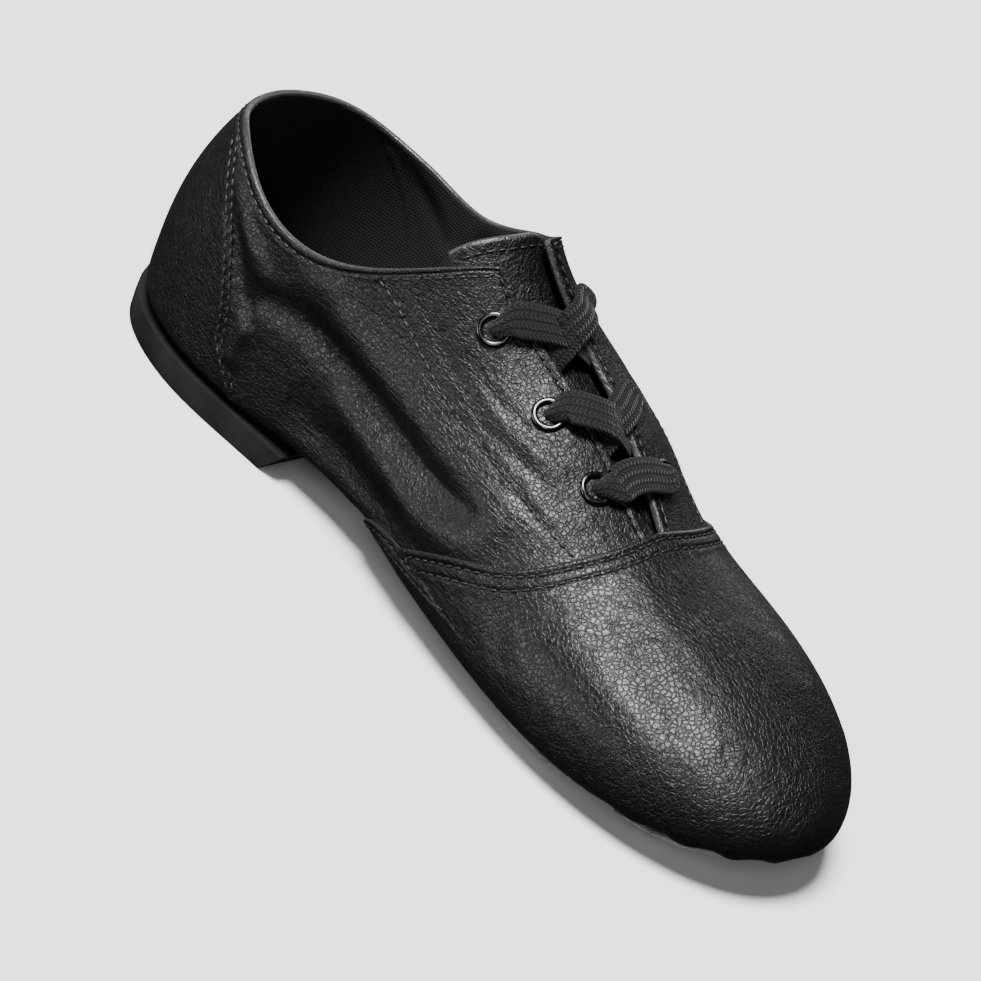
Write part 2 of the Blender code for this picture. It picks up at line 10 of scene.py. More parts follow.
import bmesh
import bpy
import numpy as np
from mathutils import Matrix, Vector


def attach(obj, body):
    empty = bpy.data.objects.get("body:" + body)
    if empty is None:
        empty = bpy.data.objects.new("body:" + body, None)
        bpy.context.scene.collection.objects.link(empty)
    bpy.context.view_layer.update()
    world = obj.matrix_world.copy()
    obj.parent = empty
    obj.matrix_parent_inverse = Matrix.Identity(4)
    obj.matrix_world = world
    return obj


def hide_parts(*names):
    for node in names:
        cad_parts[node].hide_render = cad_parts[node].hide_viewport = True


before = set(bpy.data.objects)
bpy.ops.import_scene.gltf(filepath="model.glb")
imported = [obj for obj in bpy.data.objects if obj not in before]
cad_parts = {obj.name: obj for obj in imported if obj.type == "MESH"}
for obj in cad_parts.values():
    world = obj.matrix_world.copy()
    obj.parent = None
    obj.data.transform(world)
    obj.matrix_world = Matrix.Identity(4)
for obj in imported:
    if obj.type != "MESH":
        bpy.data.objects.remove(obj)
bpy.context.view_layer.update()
MM = 0.001

# %% [markdown]
# The camera comes first. It keeps the photograph's angle to the shoe: it looks down from the
# front of the inner side, through a long lens, and it is rolled because the shoe leans there.

# %% Camera
AIM = Vector((0.092, 0.0, 0.035))
AZIMUTH, ELEVATION, ROLL = math.radians(35.75), math.radians(31.54), math.radians(23.0)
DISTANCE = 1.1487
PICTURE = 981
FOCAL_PIXELS = 4700
AIM_PIXEL = (517, 458)

back = Vector((math.sin(AZIMUTH) * math.cos(ELEVATION), -math.cos(AZIMUTH) * math.cos(ELEVATION),
               math.sin(ELEVATION)))
lens_data = bpy.data.cameras.new("camera")
lens_data.sensor_width = 36
lens_data.lens = FOCAL_PIXELS / PICTURE * lens_data.sensor_width
lens_data.shift_x = 0.5 - AIM_PIXEL[0] / PICTURE
lens_data.shift_y = AIM_PIXEL[1] / PICTURE - 0.5
camera = bpy.data.objects.new("camera", lens_data)
camera.matrix_world = (Matrix.Translation(AIM + back * DISTANCE)
                       @ back.to_track_quat("Z", "Y").to_matrix().to_4x4()
                       @ Matrix.Rotation(ROLL, 4, "Z"))
bpy.context.scene.collection.objects.link(camera)
bpy.context.scene.camera = camera
print("camera at", [round(v, 3) for v in camera.matrix_world.translation])

# %% [markdown]
# The last is the form that a shoemaker stretches the leather over. It could be sculpted, but a
# form that comes from sizes can be asked for any of its points later, by the seams, the laces
# and the creases alike. Its length, ball width, instep and heel height are the driving sizes,
# and short tables give the sections as shares of them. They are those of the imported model.

# %% Sizes and sections of the last
LENGTH, BALL_WIDTH, INSTEP_HEIGHT, SIDE_HEIGHT = 0.250, 0.080, 0.0675, 0.0140
COLLAR_HEIGHT, TOE_SPRING, HEEL_SEAT = 0.0600, 0.0060, 0.033
WALL, VAMP_STEP, THROAT_GAP = 0.0019, 0.0008, 0.0120
HEEL_PAD_HEIGHT, HEEL_PAD_OVERHANG, HEEL_PAD_SLANT, HEEL_PAD_FRONT = 0.0080, 0.0015, 0.0065, 0.300
PAD_THICKNESS, FOREFOOT_PAD_LENGTH, FOREFOOT_PAD_WIDTH = 0.0017, 0.081, 0.070
FOREFOOT_PAD_CENTRE, TOE_PAD_WIDTH, TOE_PAD_GAP = 0.7225, 0.056, 0.003
TOE_PAD_HORN, TOE_PAD_MARGIN = 0.004, 0.009
FOREFOOT_PAD_BLUNT, TOE_PAD_HOLLOW, TOE_PAD_ROUND = 0.14, 1.10, 2.2
CLEARANCE, SHEET_CLEARANCE = 0.0003, 0.0007
HEEL_POLE, TOE_POLE, POLE_ROUND, TIP_SHIFT = 0.125, 0.80, 0.048, 0.134
LATERAL, MEDIAL = 1, -1

# share of the length, lateral and medial half widths as shares of half the ball width
OUTLINE = (
    (0.000, 0.000, 0.000), (0.012, 0.303, 0.303), (0.045, 0.570, 0.570), (0.100, 0.744, 0.744),
    (0.170, 0.820, 0.820), (0.270, 0.812, 0.790), (0.380, 0.830, 0.770), (0.480, 0.920, 0.845),
    (0.570, 0.995, 0.930), (0.650, 1.015, 0.995), (0.730, 0.971, 1.032), (0.810, 0.879, 1.011),
    (0.885, 0.732, 0.913), (0.945, 0.503, 0.734), (0.985, 0.206, 0.477), (1.000, -0.134, 0.134),
)
# share of the length, ridge as a share of the instep height, widest level of the side height
HEIGHTS = (
    (0.00, 0.896, 0.97), (0.15, 1.310, 0.97), (0.30, 1.630, 0.97), (0.42, 1.215, 0.97),
    (0.50, 1.000, 0.98), (0.58, 0.885, 1.00), (0.68, 0.690, 0.93), (0.78, 0.600, 0.88),
    (0.88, 0.520, 0.80), (1.00, 0.370, 0.58),
)
# share of the length, share of the step from forefoot up to heel, share of the toe spring
SEAT = (
    (0.00, 1.00, 0.00), (0.30, 1.00, 0.00), (0.38, 0.96, 0.00), (0.45, 0.66, 0.00),
    (0.52, 0.24, 0.00), (0.58, 0.02, 0.00), (0.64, 0.00, -0.06), (0.78, 0.00, -0.06),
    (0.88, 0.00, 0.20), (1.00, 0.00, 1.00),
)
# share of the length, exponent of the section above and below the widest level
ROUND = (
    (0.00, 2.3, 5.5), (0.15, 2.3, 6.5), (0.30, 2.2, 6.0), (0.42, 2.0, 3.4), (0.50, 1.9, 3.0),
    (0.58, 1.9, 3.0), (0.68, 2.0, 3.2), (0.78, 2.1, 3.2), (0.88, 2.2, 3.0), (1.00, 2.3, 3.0),
)
# Swell of the lateral side above the widest level, where the empty quarter folds in at the throat's
# top and stands out at the eyelets: share of the length, share of the side distance
SWELL = (
    (0.00, 0.00), (0.26, 0.00), (0.35, -0.13), (0.40, -0.30), (0.43, -0.26), (0.465, -0.02),
    (0.50, 0.13), (0.56, 0.10), (0.64, -0.03), (0.72, 0.00), (1.00, 0.00),
)
# share of the length, collar above the seat: lateral and medial shares of the collar height
COLLAR = (
    (0.000, 0.975, 0.975), (0.050, 0.985, 0.985), (0.090, 0.955, 1.000), (0.130, 0.912, 0.965),
    (0.180, 0.880, 0.890), (0.260, 0.875, 0.860), (0.340, 1.045, 1.000), (0.400, 1.240, 1.180),
    (0.435, 1.380, 1.275), (0.460, 1.450, 1.310),
)
# share of the length, throat edge from the ridge: lateral and medial shares of the gap
THROAT = (
    (0.35, 0.00, 0.00), (0.43, 0.17, 0.80), (0.50, 0.46, 0.55), (0.56, 0.52, 0.34),
    (0.61, 0.46, 0.22), (0.65, 0.34, 0.15), (0.69, 0.12, 0.08),
)
# vamp seam: angle round the section from the ridge in degrees, share of the length
SEAM = (
    (0, 0.690), (17, 0.690), (36, 0.676), (64, 0.624), (84, 0.542), (95, 0.495), (118, 0.450),
    (180, 0.430),
)
# eyelets from the top: share of the length, lateral and medial shares of half the ball width
EYELETS = ((0.463, 0.330, 0.405), (0.554, 0.370, 0.335), (0.633, 0.355, 0.275))
print("last:", LENGTH, "long,", BALL_WIDTH, "wide at the ball")

# %% [markdown]
# Between the table rows a smooth cubic is drawn, because a shoe has no flats or kinks along its
# length. The last itself is a family of rounded sections: one angle, theta, runs round the plan
# outline from the heel, and the other, phi, runs from the ridge over the side to the bottom
# line. Everything below is placed with these two angles, so it always lies on the shoe.

# %% The last as a function
def spline(stations, values, x, period=None):
    """Cubic through the stations with continuous curvature, natural at its ends or periodic."""
    xs, ys = np.asarray(stations, float), np.asarray(values, float)
    x = np.asarray(x, float)
    if period:
        x = xs[0] + np.mod(x - xs[0], period)
        xs, ys = np.append(xs, xs[0] + period), np.append(ys, ys[0])
    n = len(xs)
    step = np.diff(xs)
    slope = np.diff(ys) / step
    matrix, right = np.zeros((n, n)), np.zeros(n)
    for i in range(1, n - 1):
        matrix[i, i - 1:i + 2] = step[i - 1], 2 * (step[i - 1] + step[i]), step[i]
        right[i] = 6 * (slope[i] - slope[i - 1])
    matrix[0, 0] = 1
    if period:
        matrix[0, -1] = -1
        matrix[-1, [0, 1, -2, -1]] = 2 * step[0], step[0], step[-1], 2 * step[-1]
        right[-1] = 6 * (slope[0] - slope[-1])
    else:
        matrix[-1, -1] = 1
    bend = np.linalg.solve(matrix, right)
    x = np.clip(x, xs[0], xs[-1])
    i = np.clip(np.searchsorted(xs, x, side="right") - 1, 0, n - 2)
    a = (xs[i + 1] - x) / step[i]
    b = 1 - a
    curve = ((a ** 3 - a) * bend[i] + (b ** 3 - b) * bend[i + 1]) * step[i] ** 2 / 6
    return a * ys[i] + b * ys[i + 1] + curve


def column(table, k, share):
    """One column of a table as a smooth curve along the shoe."""
    return spline([row[0] for row in table], [row[k] for row in table], share)


def soft_max(a, b, radius):
    """The larger of two values, with a rounded change."""
    return (a + b + np.sqrt((a - b) ** 2 + radius ** 2)) / 2


def smooth(low, high, x):
    """0 below low, 1 above high, and a soft step between."""
    t = np.clip((x - low) / (high - low), 0, 1)
    return t * t * (3 - 2 * t)


def angle_of(share):
    """Angle round the outline, up to pi, at a share of the length."""
    return np.arccos(1 - 2 * np.clip(share, 0, 1))


def outline(theta):
    """Share of the length and side distance of the plan outline."""
    shares = [row[0] for row in OUTLINE]
    angles = [angle_of(s) for s in shares]
    angles += [2 * math.pi - a for a in angles[-2:0:-1]]
    widths = [row[1] for row in OUTLINE] + [-row[2] for row in OUTLINE[-2:0:-1]]
    side = spline(angles, widths, theta, 2 * math.pi) * BALL_WIDTH / 2
    return (1 - np.cos(theta)) / 2, side


def centre(share):
    """Side distance of the ridge, which drifts to the medial side at the toe."""
    return -TIP_SHIFT * BALL_WIDTH / 2 * (2 * np.clip(share - 0.5, 0, 0.5)) ** 2


def seat(share):
    """Height of the bottom line above the floor."""
    step = HEEL_PAD_HEIGHT - PAD_THICKNESS
    low = PAD_THICKNESS + CLEARANCE
    return low + step * column(SEAT, 1, share) + TOE_SPRING * column(SEAT, 2, share)


def last(theta, phi):
    """Point of the shoe's outer form; phi runs from 0 at the ridge to pi at the bottom line."""
    theta, phi = np.broadcast_arrays(np.asarray(theta, float), np.asarray(phi, float))
    edge, side = outline(theta)
    pole = soft_max(edge, HEEL_POLE, POLE_ROUND)
    pole = -soft_max(-pole, -TOE_POLE, POLE_ROUND)
    above = phi <= math.pi / 2
    sine, cosine = np.abs(np.sin(phi)), np.abs(np.cos(phi))
    share = pole
    for _ in range(2):
        n = np.where(above, column(ROUND, 1, share), column(ROUND, 2, share))
        reach = (sine ** n + cosine ** n) ** (-1 / n)
        share = pole + sine * reach * (edge - pole)
    swell = np.where(above & (side > centre(pole)), column(SWELL, 1, share) * np.sin(2 * phi), 0)
    y = centre(pole) + sine * reach * (side - centre(pole)) * (1 + swell)
    bottom = seat(share)
    widest = bottom + SIDE_HEIGHT * column(HEIGHTS, 2, share)
    top = bottom + INSTEP_HEIGHT * column(HEIGHTS, 1, share)
    z = widest + np.where(above, top - widest, bottom - widest) * cosine * reach
    z = np.maximum(z, PAD_THICKNESS + CLEARANCE)
    return np.stack([share * LENGTH - HEEL_SEAT, y, z], -1)


POLE_MARGIN = 0.01


def unit(arrows):
    """The same directions, each with length 1."""
    return arrows / np.linalg.norm(arrows, axis=-1, keepdims=True)


def outward(theta, phi):
    """Unit normal of the last, pointing out."""
    d = 0.002
    phi = np.clip(phi, POLE_MARGIN, math.pi - POLE_MARGIN)
    round_it = last(theta + d, phi) - last(theta - d, phi)
    down_it = last(theta, phi + d) - last(theta, phi - d)
    return unit(np.cross(round_it, down_it))


def on_last(theta, phi):
    """A place on the last and the normal there."""
    return last(theta, phi), outward(theta, phi)


def root(test, low, high, steps=40):
    """Where a rising test crosses 0, by halving, for arrays of low and high."""
    low, high = np.array(low, float), np.array(high, float)
    for _ in range(steps):
        middle = (low + high) / 2
        over = test(middle) > 0
        high = np.where(over, middle, high)
        low = np.where(over, low, middle)
    return (low + high) / 2


def share_of(point):
    """Share of the length at which points lie."""
    return (point[..., 0] + HEEL_SEAT) / LENGTH


def on_side(side, theta):
    """The same angle counted on the lateral or on the medial side."""
    return theta if side == LATERAL else 2 * math.pi - theta


def at_share(side, share, phi):
    """The two angles of the point at a share of the length and an angle round the section."""
    share, phi = np.broadcast_arrays(np.asarray(share, float), np.asarray(phi, float))
    theta = root(lambda t: share_of(last(on_side(side, t), phi)) - share,
                 np.full(share.shape, 0.0), np.full(share.shape, math.pi))
    return on_side(side, theta), phi


def on_top(share, y):
    """The two angles of the point above the widest level at a share and a side distance."""
    y = np.asarray(y, float)
    theta = np.where(y > centre(share), angle_of(share), 2 * math.pi - angle_of(share))
    away = np.abs(y - centre(share))
    phi = root(lambda p: np.abs(last(theta, p)[..., 1] - centre(share)) - away,
               np.zeros(y.shape), np.full(y.shape, math.pi / 2))
    return theta, phi


def underside(x, y):
    """Height of the last's underside over a plan point."""
    share = (x + HEEL_SEAT) / LENGTH
    lateral = y > centre(share)

    def spoke(theta):
        theta = np.where(lateral, theta, 2 * math.pi - theta)
        return last(theta, math.pi), last(theta, math.pi / 2)

    def ahead(theta):
        inner, outer = spoke(theta)
        rod, out = outer - inner, np.stack([x, y, 0 * x], -1) - inner
        turn = rod[..., 0] * out[..., 1] - rod[..., 1] * out[..., 0]
        return np.where(lateral, turn, -turn)

    theta = root(ahead, np.full(x.shape, 1e-4), np.full(x.shape, math.pi - 1e-4))
    inner, outer = spoke(theta)
    reach = np.hypot(x - inner[..., 0], y - inner[..., 1])
    side = np.where(lateral, theta, 2 * math.pi - theta)

    def further(phi):
        point = last(side, phi)
        return reach - np.hypot(point[..., 0] - inner[..., 0], point[..., 1] - inner[..., 1])

    phi = root(further, np.full(x.shape, math.pi / 2), np.full(x.shape, math.pi))
    return last(side, phi)[..., 2]


def seam_angle(phi):
    """Angle round the outline of the vamp seam."""
    return angle_of(column(SEAM, 1, np.degrees(phi)))


toe = last(math.pi, math.pi / 2)
print("toe tip of the last at", np.round(toe, 4))

# %% [markdown]
# Black is never one flat colour: each finish below has its own grain, gloss and unevenness, and
# every pattern's scale is a real size in millimetres. One function turns a web colour into
# Blender's linear one, one adds a node with its settings and links, and one starts a material.
# Soft map ranges shape the patterns, so their setting is kept under a short name.

# %% Material helpers
def linear(web):
    """A web colour such as #1a1a1a as linear red, green, blue and alpha."""
    parts = [int(web[i:i + 2], 16) / 255 for i in (1, 3, 5)]
    return (*[p / 12.92 if p <= 0.04045 else ((p + 0.055) / 1.055) ** 2.4 for p in parts], 1.0)


def add(tree, kind, settings=None, **inputs):
    """Add a node, set its properties, and set or link its inputs by name."""
    node = tree.nodes.new(kind)
    for key, value in (settings or {}).items():
        setattr(node, key, value)
    for key, value in inputs.items():
        socket = node.inputs[int(key[1:])] if key[0] == "_" else node.inputs[key.replace("_", " ")]
        if isinstance(value, bpy.types.NodeSocket):
            tree.links.new(value, socket)
        else:
            socket.default_value = value
    return node


def finish(name, colour, roughness, **constants):
    """A new material with its shader's fixed values set, and its tree and shader."""
    made = bpy.data.materials.new(name)
    made.use_nodes = True
    tree = made.node_tree
    shader = tree.nodes["Principled BSDF"]
    shader.inputs["Base Color"].default_value = linear(colour)
    shader.inputs["Roughness"].default_value = roughness
    for key, value in constants.items():
        shader.inputs[key.replace("_", " ")].default_value = value
    return made, tree, shader


SOFT = {"interpolation_type": "SMOOTHSTEP"}
COLOURS, NUMBERS, VECTORS = ({"data_type": kind} for kind in ("RGBA", "FLOAT", "VECTOR"))
TIMES = {"operation": "MULTIPLY"}
print("a dark grey as linear light:", np.round(linear("#303031"), 4))

# %% [markdown]
# The upper is coated leather with a pebble grain: rounded cells about 1.2 mm wide, parted by
# fine cracks, over a grain less than half as coarse. The cracks are coloured a little darker than
# the pebbles as painted shade. The coating gives a soft, broad gloss that is a little uneven, and
# the folded edges are smoother and coloured pale grey as a painted highlight of their round.
# A cell pattern whose place is shifted by noise gives the irregular pebbles.

# %% Leather
PEBBLE, FINE_GRAIN, WANDER, CLOUD, DIMPLE = 1.25 * MM, 0.5 * MM, 2.2 * MM, 20 * MM, 4 * MM
WRINKLE_LONG, WRINKLE_WIDE, WRINKLE_TILT = 9 * MM, 0.9 * MM, 0.42
EDGES = {"feature": "DISTANCE_TO_EDGE"}


def leather_finish():
    made, tree, shader = finish("pebble grain coated leather", "#0c0c0d", 0.4,
                                Specular_IOR_Level=0.34, Coat_Weight=0.15, Coat_Roughness=0.3,
                                Coat_IOR=1.5)
    place = add(tree, "ShaderNodeTexCoord").outputs["Object"]
    folded = add(tree, "ShaderNodeAttribute", {"attribute_name": "fold"}).outputs["Fac"]
    cloud = add(tree, "ShaderNodeTexNoise", Vector=place, Scale=1 / CLOUD, Detail=3.0).outputs["Fac"]

    # rounded pebbles, and the finer grain that lies between and on them
    wander = add(tree, "ShaderNodeTexNoise", Vector=place, Scale=1 / WANDER, Detail=1.0)
    shifted = add(tree, "ShaderNodeMix", VECTORS, Factor=0.0012, _4=place,
                  _5=wander.outputs["Color"]).outputs[1]
    cells = add(tree, "ShaderNodeTexVoronoi", EDGES, Vector=shifted, Scale=1 / PEBBLE,
                Randomness=0.95)
    cell = add(tree, "ShaderNodeMapRange", SOFT, Value=cells.outputs["Distance"], From_Min=0.01,
               From_Max=0.17)
    pebble = add(tree, "ShaderNodeMath", {"operation": "MAXIMUM"}, _0=cell.outputs[0],
                 _1=folded).outputs[0]
    small = add(tree, "ShaderNodeTexVoronoi", EDGES, Vector=shifted, Scale=1 / FINE_GRAIN,
                Randomness=1.0)
    fine = add(tree, "ShaderNodeMapRange", SOFT, Value=small.outputs["Distance"], From_Max=0.3)

    # fine wrinkles run forward and down across the quarters, where the foot bends
    lain = add(tree, "ShaderNodeMapping", Vector=place, Rotation=(0, -WRINKLE_TILT, 0),
               Scale=(1 / WRINKLE_LONG, 1 / WRINKLE_WIDE, 1 / WRINKLE_WIDE))
    lines = add(tree, "ShaderNodeTexNoise", Vector=lain.outputs[0], Scale=1.0, Detail=2.0,
                Distortion=0.6)
    line = add(tree, "ShaderNodeMapRange", SOFT, Value=lines.outputs["Fac"], From_Min=0.36,
               From_Max=0.56)
    along = add(tree, "ShaderNodeSeparateXYZ", Vector=place).outputs["X"]
    behind = add(tree, "ShaderNodeMapRange", SOFT, Value=along, From_Min=22 * MM, From_Max=60 * MM)
    ahead = add(tree, "ShaderNodeMapRange", SOFT, Value=along, From_Min=150 * MM,
                From_Max=120 * MM)
    bent = add(tree, "ShaderNodeMath", TIMES, _0=behind.outputs[0], _1=ahead.outputs[0])
    wrinkle = add(tree, "ShaderNodeMath", TIMES, _0=bent.outputs[0], _1=line.outputs[0])

    # relief from the coarsest to the finest
    dimple = add(tree, "ShaderNodeTexNoise", Vector=place, Scale=1 / DIMPLE, Detail=2.0)
    swell = add(tree, "ShaderNodeBump", Height=dimple.outputs["Fac"], Distance=0.9 * MM,
                Strength=0.5)
    skin = add(tree, "ShaderNodeBump", Height=wrinkle.outputs[0], Distance=0.13 * MM,
               Strength=0.55, Normal=swell.outputs[0])
    grit = add(tree, "ShaderNodeBump", Height=fine.outputs[0], Distance=0.03 * MM, Strength=0.6,
               Normal=skin.outputs[0])
    depth = add(tree, "ShaderNodeMapRange", SOFT, Value=cloud, From_Min=0.3, From_Max=0.7,
                To_Min=0.5)
    deep = add(tree, "ShaderNodeMath", TIMES, _0=pebble, _1=depth.outputs[0])
    grain = add(tree, "ShaderNodeBump", Height=deep.outputs[0], Distance=0.09 * MM,
                Normal=grit.outputs[0])
    tree.links.new(grain.outputs[0], shader.inputs["Normal"])
    tree.links.new(grain.outputs[0], shader.inputs["Coat Normal"])

    # gloss and colour: dull cracks, glossier pebbles, polished folds; the colours are painted shade
    # in the cracks and a painted highlight on the folds
    dull = add(tree, "ShaderNodeMapRange", SOFT, Value=cloud, From_Min=0.35, From_Max=0.65,
               To_Min=0.33, To_Max=0.42)
    gloss = add(tree, "ShaderNodeMix", NUMBERS, Factor=pebble, _2=0.6, _3=dull.outputs[0])
    polished = add(tree, "ShaderNodeMix", NUMBERS, Factor=folded, _2=gloss.outputs[0], _3=0.2)
    tree.links.new(polished.outputs[0], shader.inputs["Roughness"])
    # painted shade: the cracks between the pebbles are coloured darker than the pebbles' tops
    shade = add(tree, "ShaderNodeMix", COLOURS, Factor=pebble, _6=linear("#020202"),
                _7=linear("#08080a"))
    # painted highlight: the folded edges get a pale grey colour for the thin bright line that their
    # round reflects
    edge_wear_and_painted_highlight = add(tree, "ShaderNodeMix", COLOURS, Factor=folded, _6=shade.outputs[2],
               _7=linear("#444445"))
    tree.links.new(edge_wear_and_painted_highlight.outputs[2], shader.inputs["Base Color"])
    return made


leather = leather_finish()
print("made", leather.name)

# %% [markdown]
# The other finishes are cloth, suede, rubber, lacquered metal and thread. The lining is a plain
# weave of 0.5 mm threads that gives back almost no light. Suede is a brushed nap: a pale dust of
# fibre tips over dark grey, blotched where it was rubbed. The heel pad is moulded rubber, dull,
# with fine pits and dusty smears. The eyelets are lacquered brass with a narrow bright gloss, and
# the thread is waxed, so that each stitch shines a little. Pictures could give these surfaces,
# but patterns of noise and waves show no repeats and keep their real size.

# %% Cloth, suede, rubber, metal and thread
THREAD_PITCH, NAP, RUB, PIT = 0.5 * MM, 0.35 * MM, 9 * MM, 0.6 * MM
RUBBER_SMEAR, METAL_SMEAR, TWIST = 14 * MM, 1.5 * MM, 0.25 * MM


def lining_finish():
    made, tree, shader = finish("woven cotton lining", "#070708", 0.95, Sheen_Weight=0.06,
                                Sheen_Roughness=0.6)
    place = add(tree, "ShaderNodeTexCoord").outputs["Object"]
    warp, weft = (add(tree, "ShaderNodeTexWave", {"bands_direction": axis}, Vector=place,
                      Scale=1 / THREAD_PITCH / 6.28, Distortion=0.6) for axis in ("X", "Z"))
    weave = add(tree, "ShaderNodeMath", TIMES, _0=warp.outputs["Fac"], _1=weft.outputs["Fac"])
    cloth = add(tree, "ShaderNodeBump", Height=weave.outputs[0], Distance=0.12 * MM)
    tree.links.new(cloth.outputs[0], shader.inputs["Normal"])
    return made


def suede_finish():
    made, tree, shader = finish("brushed split suede", "#303031", 0.97, Specular_IOR_Level=0.2,
                                Sheen_Weight=0.35, Sheen_Roughness=0.5)
    place = add(tree, "ShaderNodeTexCoord").outputs["Object"]
    fibre = add(tree, "ShaderNodeTexNoise", Vector=place, Scale=1 / NAP, Detail=4.0,
                Roughness=0.7).outputs["Fac"]
    rubbed = add(tree, "ShaderNodeTexNoise", Vector=place, Scale=1 / RUB, Detail=3.0)
    blotch = add(tree, "ShaderNodeMapRange", SOFT, Value=rubbed.outputs["Fac"], From_Min=0.3,
                 From_Max=0.7, To_Min=0.75, To_Max=1.25)
    dust = add(tree, "ShaderNodeMath", TIMES, _0=fibre, _1=blotch.outputs[0])
    speck = add(tree, "ShaderNodeMapRange", SOFT, Value=dust.outputs[0], From_Min=0.35,
                From_Max=0.72)
    shade = add(tree, "ShaderNodeMix", COLOURS, Factor=speck.outputs[0], _6=linear("#232324"),
                _7=linear("#4a4a4b"))
    tree.links.new(shade.outputs[2], shader.inputs["Base Color"])
    nap = add(tree, "ShaderNodeBump", Height=fibre, Distance=0.25 * MM)
    tree.links.new(nap.outputs[0], shader.inputs["Normal"])
    return made


def rubber_finish():
    made, tree, shader = finish("moulded rubber", "#131314", 0.8, Specular_IOR_Level=0.15)
    place = add(tree, "ShaderNodeTexCoord").outputs["Object"]
    smear = add(tree, "ShaderNodeTexNoise", Vector=place, Scale=1 / RUBBER_SMEAR,
                Detail=4.0).outputs["Fac"]
    dusty = add(tree, "ShaderNodeMapRange", SOFT, Value=smear, From_Min=0.35, From_Max=0.7)
    shade = add(tree, "ShaderNodeMix", COLOURS, Factor=dusty.outputs[0], _6=linear("#101011"),
                _7=linear("#19191a"))
    tree.links.new(shade.outputs[2], shader.inputs["Base Color"])
    dull = add(tree, "ShaderNodeMapRange", SOFT, Value=smear, From_Min=0.3, From_Max=0.7,
               To_Min=0.68, To_Max=0.88)
    tree.links.new(dull.outputs[0], shader.inputs["Roughness"])
    pits = add(tree, "ShaderNodeTexNoise", Vector=place, Scale=1 / PIT, Detail=3.0, Roughness=0.65)
    pitted = add(tree, "ShaderNodeBump", Height=pits.outputs["Fac"], Distance=0.08 * MM)
    tree.links.new(pitted.outputs[0], shader.inputs["Normal"])
    return made


def metal_finish():
    made, tree, shader = finish("black lacquered brass", "#4c4c4e", 0.25, Metallic=1.0)
    place = add(tree, "ShaderNodeTexCoord").outputs["Object"]
    smear = add(tree, "ShaderNodeTexNoise", Vector=place, Scale=1 / METAL_SMEAR,
                Detail=3.0).outputs["Fac"]
    dull = add(tree, "ShaderNodeMapRange", SOFT, Value=smear, From_Min=0.3, From_Max=0.7,
               To_Min=0.16, To_Max=0.30)
    tree.links.new(dull.outputs[0], shader.inputs["Roughness"])
    lacquer = add(tree, "ShaderNodeBump", Height=smear, Distance=0.02 * MM)
    tree.links.new(lacquer.outputs[0], shader.inputs["Normal"])
    return made


def thread_finish():
    made, tree, shader = finish("waxed sewing thread", "#161617", 0.5)
    place = add(tree, "ShaderNodeTexCoord").outputs["Object"]
    twist = add(tree, "ShaderNodeTexNoise", Vector=place, Scale=1 / TWIST)
    strands = add(tree, "ShaderNodeBump", Height=twist.outputs["Fac"], Distance=0.05 * MM)
    tree.links.new(strands.outputs[0], shader.inputs["Normal"])
    return made


lining = lining_finish()
suede = suede_finish()
rubber = rubber_finish()
metal = metal_finish()
thread = thread_finish()
print("made", [m.name for m in (lining, suede, rubber, metal, thread)])

# %% [markdown]
# A flat woven lace has long ribs crossed by a herringbone of yarns, and it is matte. The yarns
# could be modelled one by one, but at about 1 mm they are small enough for relief, which folded
# waves draw. The pattern follows the lace through every turn, so it reads the piece's own UV
# map: U counts millimetres along the lace and V runs across it.

# %% Woven lace
RIBS, YARN = 4, 1.1


def lace_finish():
    made, tree, shader = finish("woven polyester lace", "#0b0b0c", 0.85, Specular_IOR_Level=0.3,
                                Sheen_Weight=0.08, Sheen_Roughness=0.4)
    place = add(tree, "ShaderNodeUVMap", {"uv_map": "along"}).outputs["UV"]
    split = add(tree, "ShaderNodeSeparateXYZ", Vector=place)
    rib = add(tree, "ShaderNodeMath", TIMES, _0=split.outputs["Y"], _1=float(RIBS)).outputs[0]
    lean = add(tree, "ShaderNodeMath", {"operation": "PINGPONG"}, _0=rib, _1=0.5).outputs[0]
    along = add(tree, "ShaderNodeMath", {"operation": "MULTIPLY_ADD"}, _0=lean, _1=1.6,
                _2=split.outputs["X"]).outputs[0]
    yarn = add(tree, "ShaderNodeMath", {"operation": "PINGPONG"}, _0=along, _1=YARN / 2)
    round_yarn = add(tree, "ShaderNodeMapRange", SOFT, Value=yarn.outputs[0], From_Max=YARN / 3)
    groove = add(tree, "ShaderNodeMapRange", SOFT, Value=lean, From_Max=0.22)
    height = add(tree, "ShaderNodeMath", TIMES, _0=round_yarn.outputs[0],
                 _1=groove.outputs[0]).outputs[0]
    weave = add(tree, "ShaderNodeBump", Height=height, Distance=0.3 * MM)
    tree.links.new(weave.outputs[0], shader.inputs["Normal"])
    # painted shade: the colour follows the weave's height, darker in the grooves between ribs and
    # yarns
    shade = add(tree, "ShaderNodeMix", COLOURS, Factor=height, _6=linear("#040404"),
                _7=linear("#151516"))
    tree.links.new(shade.outputs[2], shader.inputs["Base Color"])
    return made


lace_cloth = lace_finish()
print("made", lace_cloth.name)
